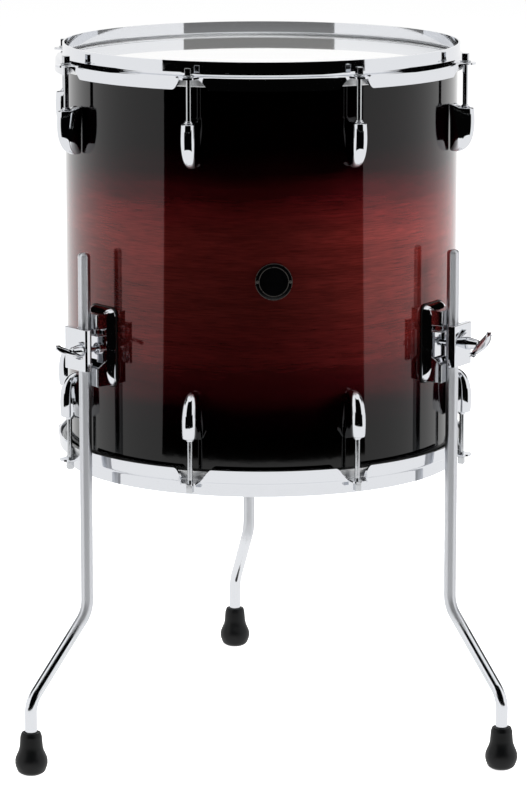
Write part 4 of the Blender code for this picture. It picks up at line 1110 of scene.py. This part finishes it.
def nail_shape():
    seat = 2 * GAP + BADGE_THICKNESS
    rise = seat + 0.8 * MM
    return along_x(turned(rounded([
        (0, seat - 5 * MM, 0), (NAIL_RADIUS, seat - 4 * MM, 0), (NAIL_RADIUS, seat, 0),
        (NAIL_HEAD_RADIUS, seat, 0.1 * MM), (NAIL_HEAD_RADIUS - 0.1 * MM, seat + 0.35 * MM, 0.3 * MM),
        (0.8 * MM, rise, 0.6 * MM), (0, rise, 0)], 3), ROD_SIDES, False))


dress("badge_plate", badge_shape(), ["badge"], [ENAMEL, BADGE_METAL], on_drum(SHELL_RADIUS, 0, SHELL_MIDDLE))
for side, share in (("left", -1), ("right", 1)):
    inset = SHELL_RADIUS - sqrt(SHELL_RADIUS ** 2 - NAIL_DISTANCE ** 2)
    dress("badge_nail_%s_steel" % side, nail_shape(), ["badge_nail_" + side], [BADGE_METAL],
          on_drum(SHELL_RADIUS, 0, SHELL_MIDDLE) @ Matrix.Translation((-inset, share * NAIL_DISTANCE, 0)))


# Studio: a pale floor, white walls, and the dark side of the room behind the camera

MIRRORED_WHITE = 0.97  # what metal and gloss show of every white surface
ROOM_LIGHT = 0.08  # what the white room itself sheds on the object
FLOOR_LIFT = 0.9  # turns the lit floor into white paper for the camera
WHITE = (1, 1, 1, 1)
CAMERA_TURN = radians(-3.54)
DARK_TURN = CAMERA_TURN + radians(1.5)


def floor_material():
    """Pale matt floor: the camera sees it as white paper that keeps the object's shadow, and mirrors
    see the same white all over it. From below it is clear, so the underside can be looked at."""
    finish, tree = new_material("pale_floor")
    rays = add(tree, "ShaderNodeLightPath").outputs
    matt = add(tree, "ShaderNodeBsdfDiffuse", {"Color": linear("E6E6E6")})
    lift = add(tree, "ShaderNodeMath", {0: rays["Is Camera Ray"], 1: FLOOR_LIFT}, operation="MULTIPLY")
    paper = add(tree, "ShaderNodeEmission", {"Color": WHITE, "Strength": lift})
    seen = add(tree, "ShaderNodeAddShader", {0: matt, 1: paper})
    mirrored = add(tree, "ShaderNodeEmission", {"Color": WHITE, "Strength": MIRRORED_WHITE})
    above = add(tree, "ShaderNodeMixShader", {0: rays["Is Glossy Ray"], 1: seen, 2: mirrored})
    clear = add(tree, "ShaderNodeBsdfTransparent")
    side = add(tree, "ShaderNodeNewGeometry").outputs["Backfacing"]
    surface = add(tree, "ShaderNodeMixShader", {0: side, 1: above, 2: clear})
    add(tree, "ShaderNodeOutputMaterial", {"Surface": surface})
    return finish


def flag_material():
    """Black cloth: it darkens what metal and gloss mirror, and the camera sees white paper instead."""
    finish, tree = new_material("black_cloth")
    rays = add(tree, "ShaderNodeLightPath").outputs
    cloth = add(tree, "ShaderNodeEmission", {"Color": linear("040404"), "Strength": 1})
    white = add(tree, "ShaderNodeEmission", {"Color": WHITE, "Strength": 1})
    surface = add(tree, "ShaderNodeMixShader", {0: rays["Is Camera Ray"], 1: cloth, 2: white})
    add(tree, "ShaderNodeOutputMaterial", {"Surface": surface})
    return finish


floor = bmesh.new()
bmesh.ops.create_circle(floor, cap_ends=True, radius=14, segments=64)
as_object("studio_floor", moved(floor, Matrix.Translation(DRUM_AXIS)), [floor_material()])

# What chrome and lacquer mirror: white all round, but black in front beyond 1.68 m (carpet, a low wall
# and a narrower high wall behind it), and a black border above the white walls at the sides and back.
# Name, degrees to either side, then distance and height of the near and of the far edge in metres
FLAGS = (
    ("black_carpet", 58.5, (1.68, 0.002), (5.2, 0.002)),
    ("black_low_wall", 58.5, (5.2, 0), (5.2, 0.55)),
    ("black_high_wall", 47, (5.3, 0.55), (5.3, 8.5)),
    ("black_border", 86, (-6, 2.4), (-6, 7.0)),
)
felt = flag_material()
for name, reach, near, far in FLAGS:
    flag = bmesh.new()
    verts, edges = wire(flag, [(0, -near[0], near[1]), (0, -far[0], far[1])], False)
    bmesh.ops.spin(flag, geom=verts + edges, cent=(0, 0, 0), axis=(0, 0, 1), angle=2 * radians(reach),
                   steps=48)
    place = Matrix.Translation(DRUM_AXIS) @ Matrix.Rotation(DARK_TURN - radians(reach), 4, "Z")
    as_object(name, moved(flag, place), [felt])

world = bpy.data.worlds.new("white_studio")
bpy.context.scene.world = world
world.use_nodes = True
world.node_tree.nodes.clear()
rays = add(world.node_tree, "ShaderNodeLightPath").outputs
light = add(world.node_tree, "ShaderNodeMix", {0: rays["Is Glossy Ray"], 2: ROOM_LIGHT, 3: MIRRORED_WHITE})
strength = add(world.node_tree, "ShaderNodeMath", {0: rays["Is Camera Ray"], 1: light}, operation="MAXIMUM")
glow = add(world.node_tree, "ShaderNodeBackground", {"Color": WHITE, "Strength": strength})
add(world.node_tree, "ShaderNodeOutputWorld", {"Surface": glow})


def soft_box(name, spot, target, size, power):
    lamp = bpy.data.lights.new(name, "AREA")
    lamp.shape = "SQUARE"
    lamp.size = size
    lamp.energy = power
    item = bpy.data.objects.new(name, lamp)
    item.location = spot
    item.rotation_euler = (Vector(target) - Vector(spot)).to_track_quat("-Z", "Y").to_euler()
    item.visible_glossy = False
    bpy.context.scene.collection.objects.link(item)


soft_box("soft_box_right", (3.4, -0.4, 1.9), (0, 0, 0.5), 1.6, 250)
soft_box("soft_box_above", (0, 0.2, 3.8), (0, 0, 0.7), 2.0, 55)
soft_box("soft_box_left", (-3.6, -0.1, 1.8), (0, 0, 0.5), 1.6, 80)

# The photograph's camera, worked out from the hoops' ellipses and the feet on the floor
camera_data = bpy.data.cameras.new("camera")
camera_data.sensor_fit = "VERTICAL"
camera_data.sensor_height = 24
camera_data.lens = 112.5
camera = bpy.data.objects.new("camera", camera_data)
camera.location = (-0.2311, -3.9228, 1.130)
camera.rotation_euler = (radians(78.6), 0, CAMERA_TURN)
bpy.context.scene.collection.objects.link(camera)
bpy.context.scene.camera = camera
bpy.context.scene.view_settings.view_transform = "Standard"
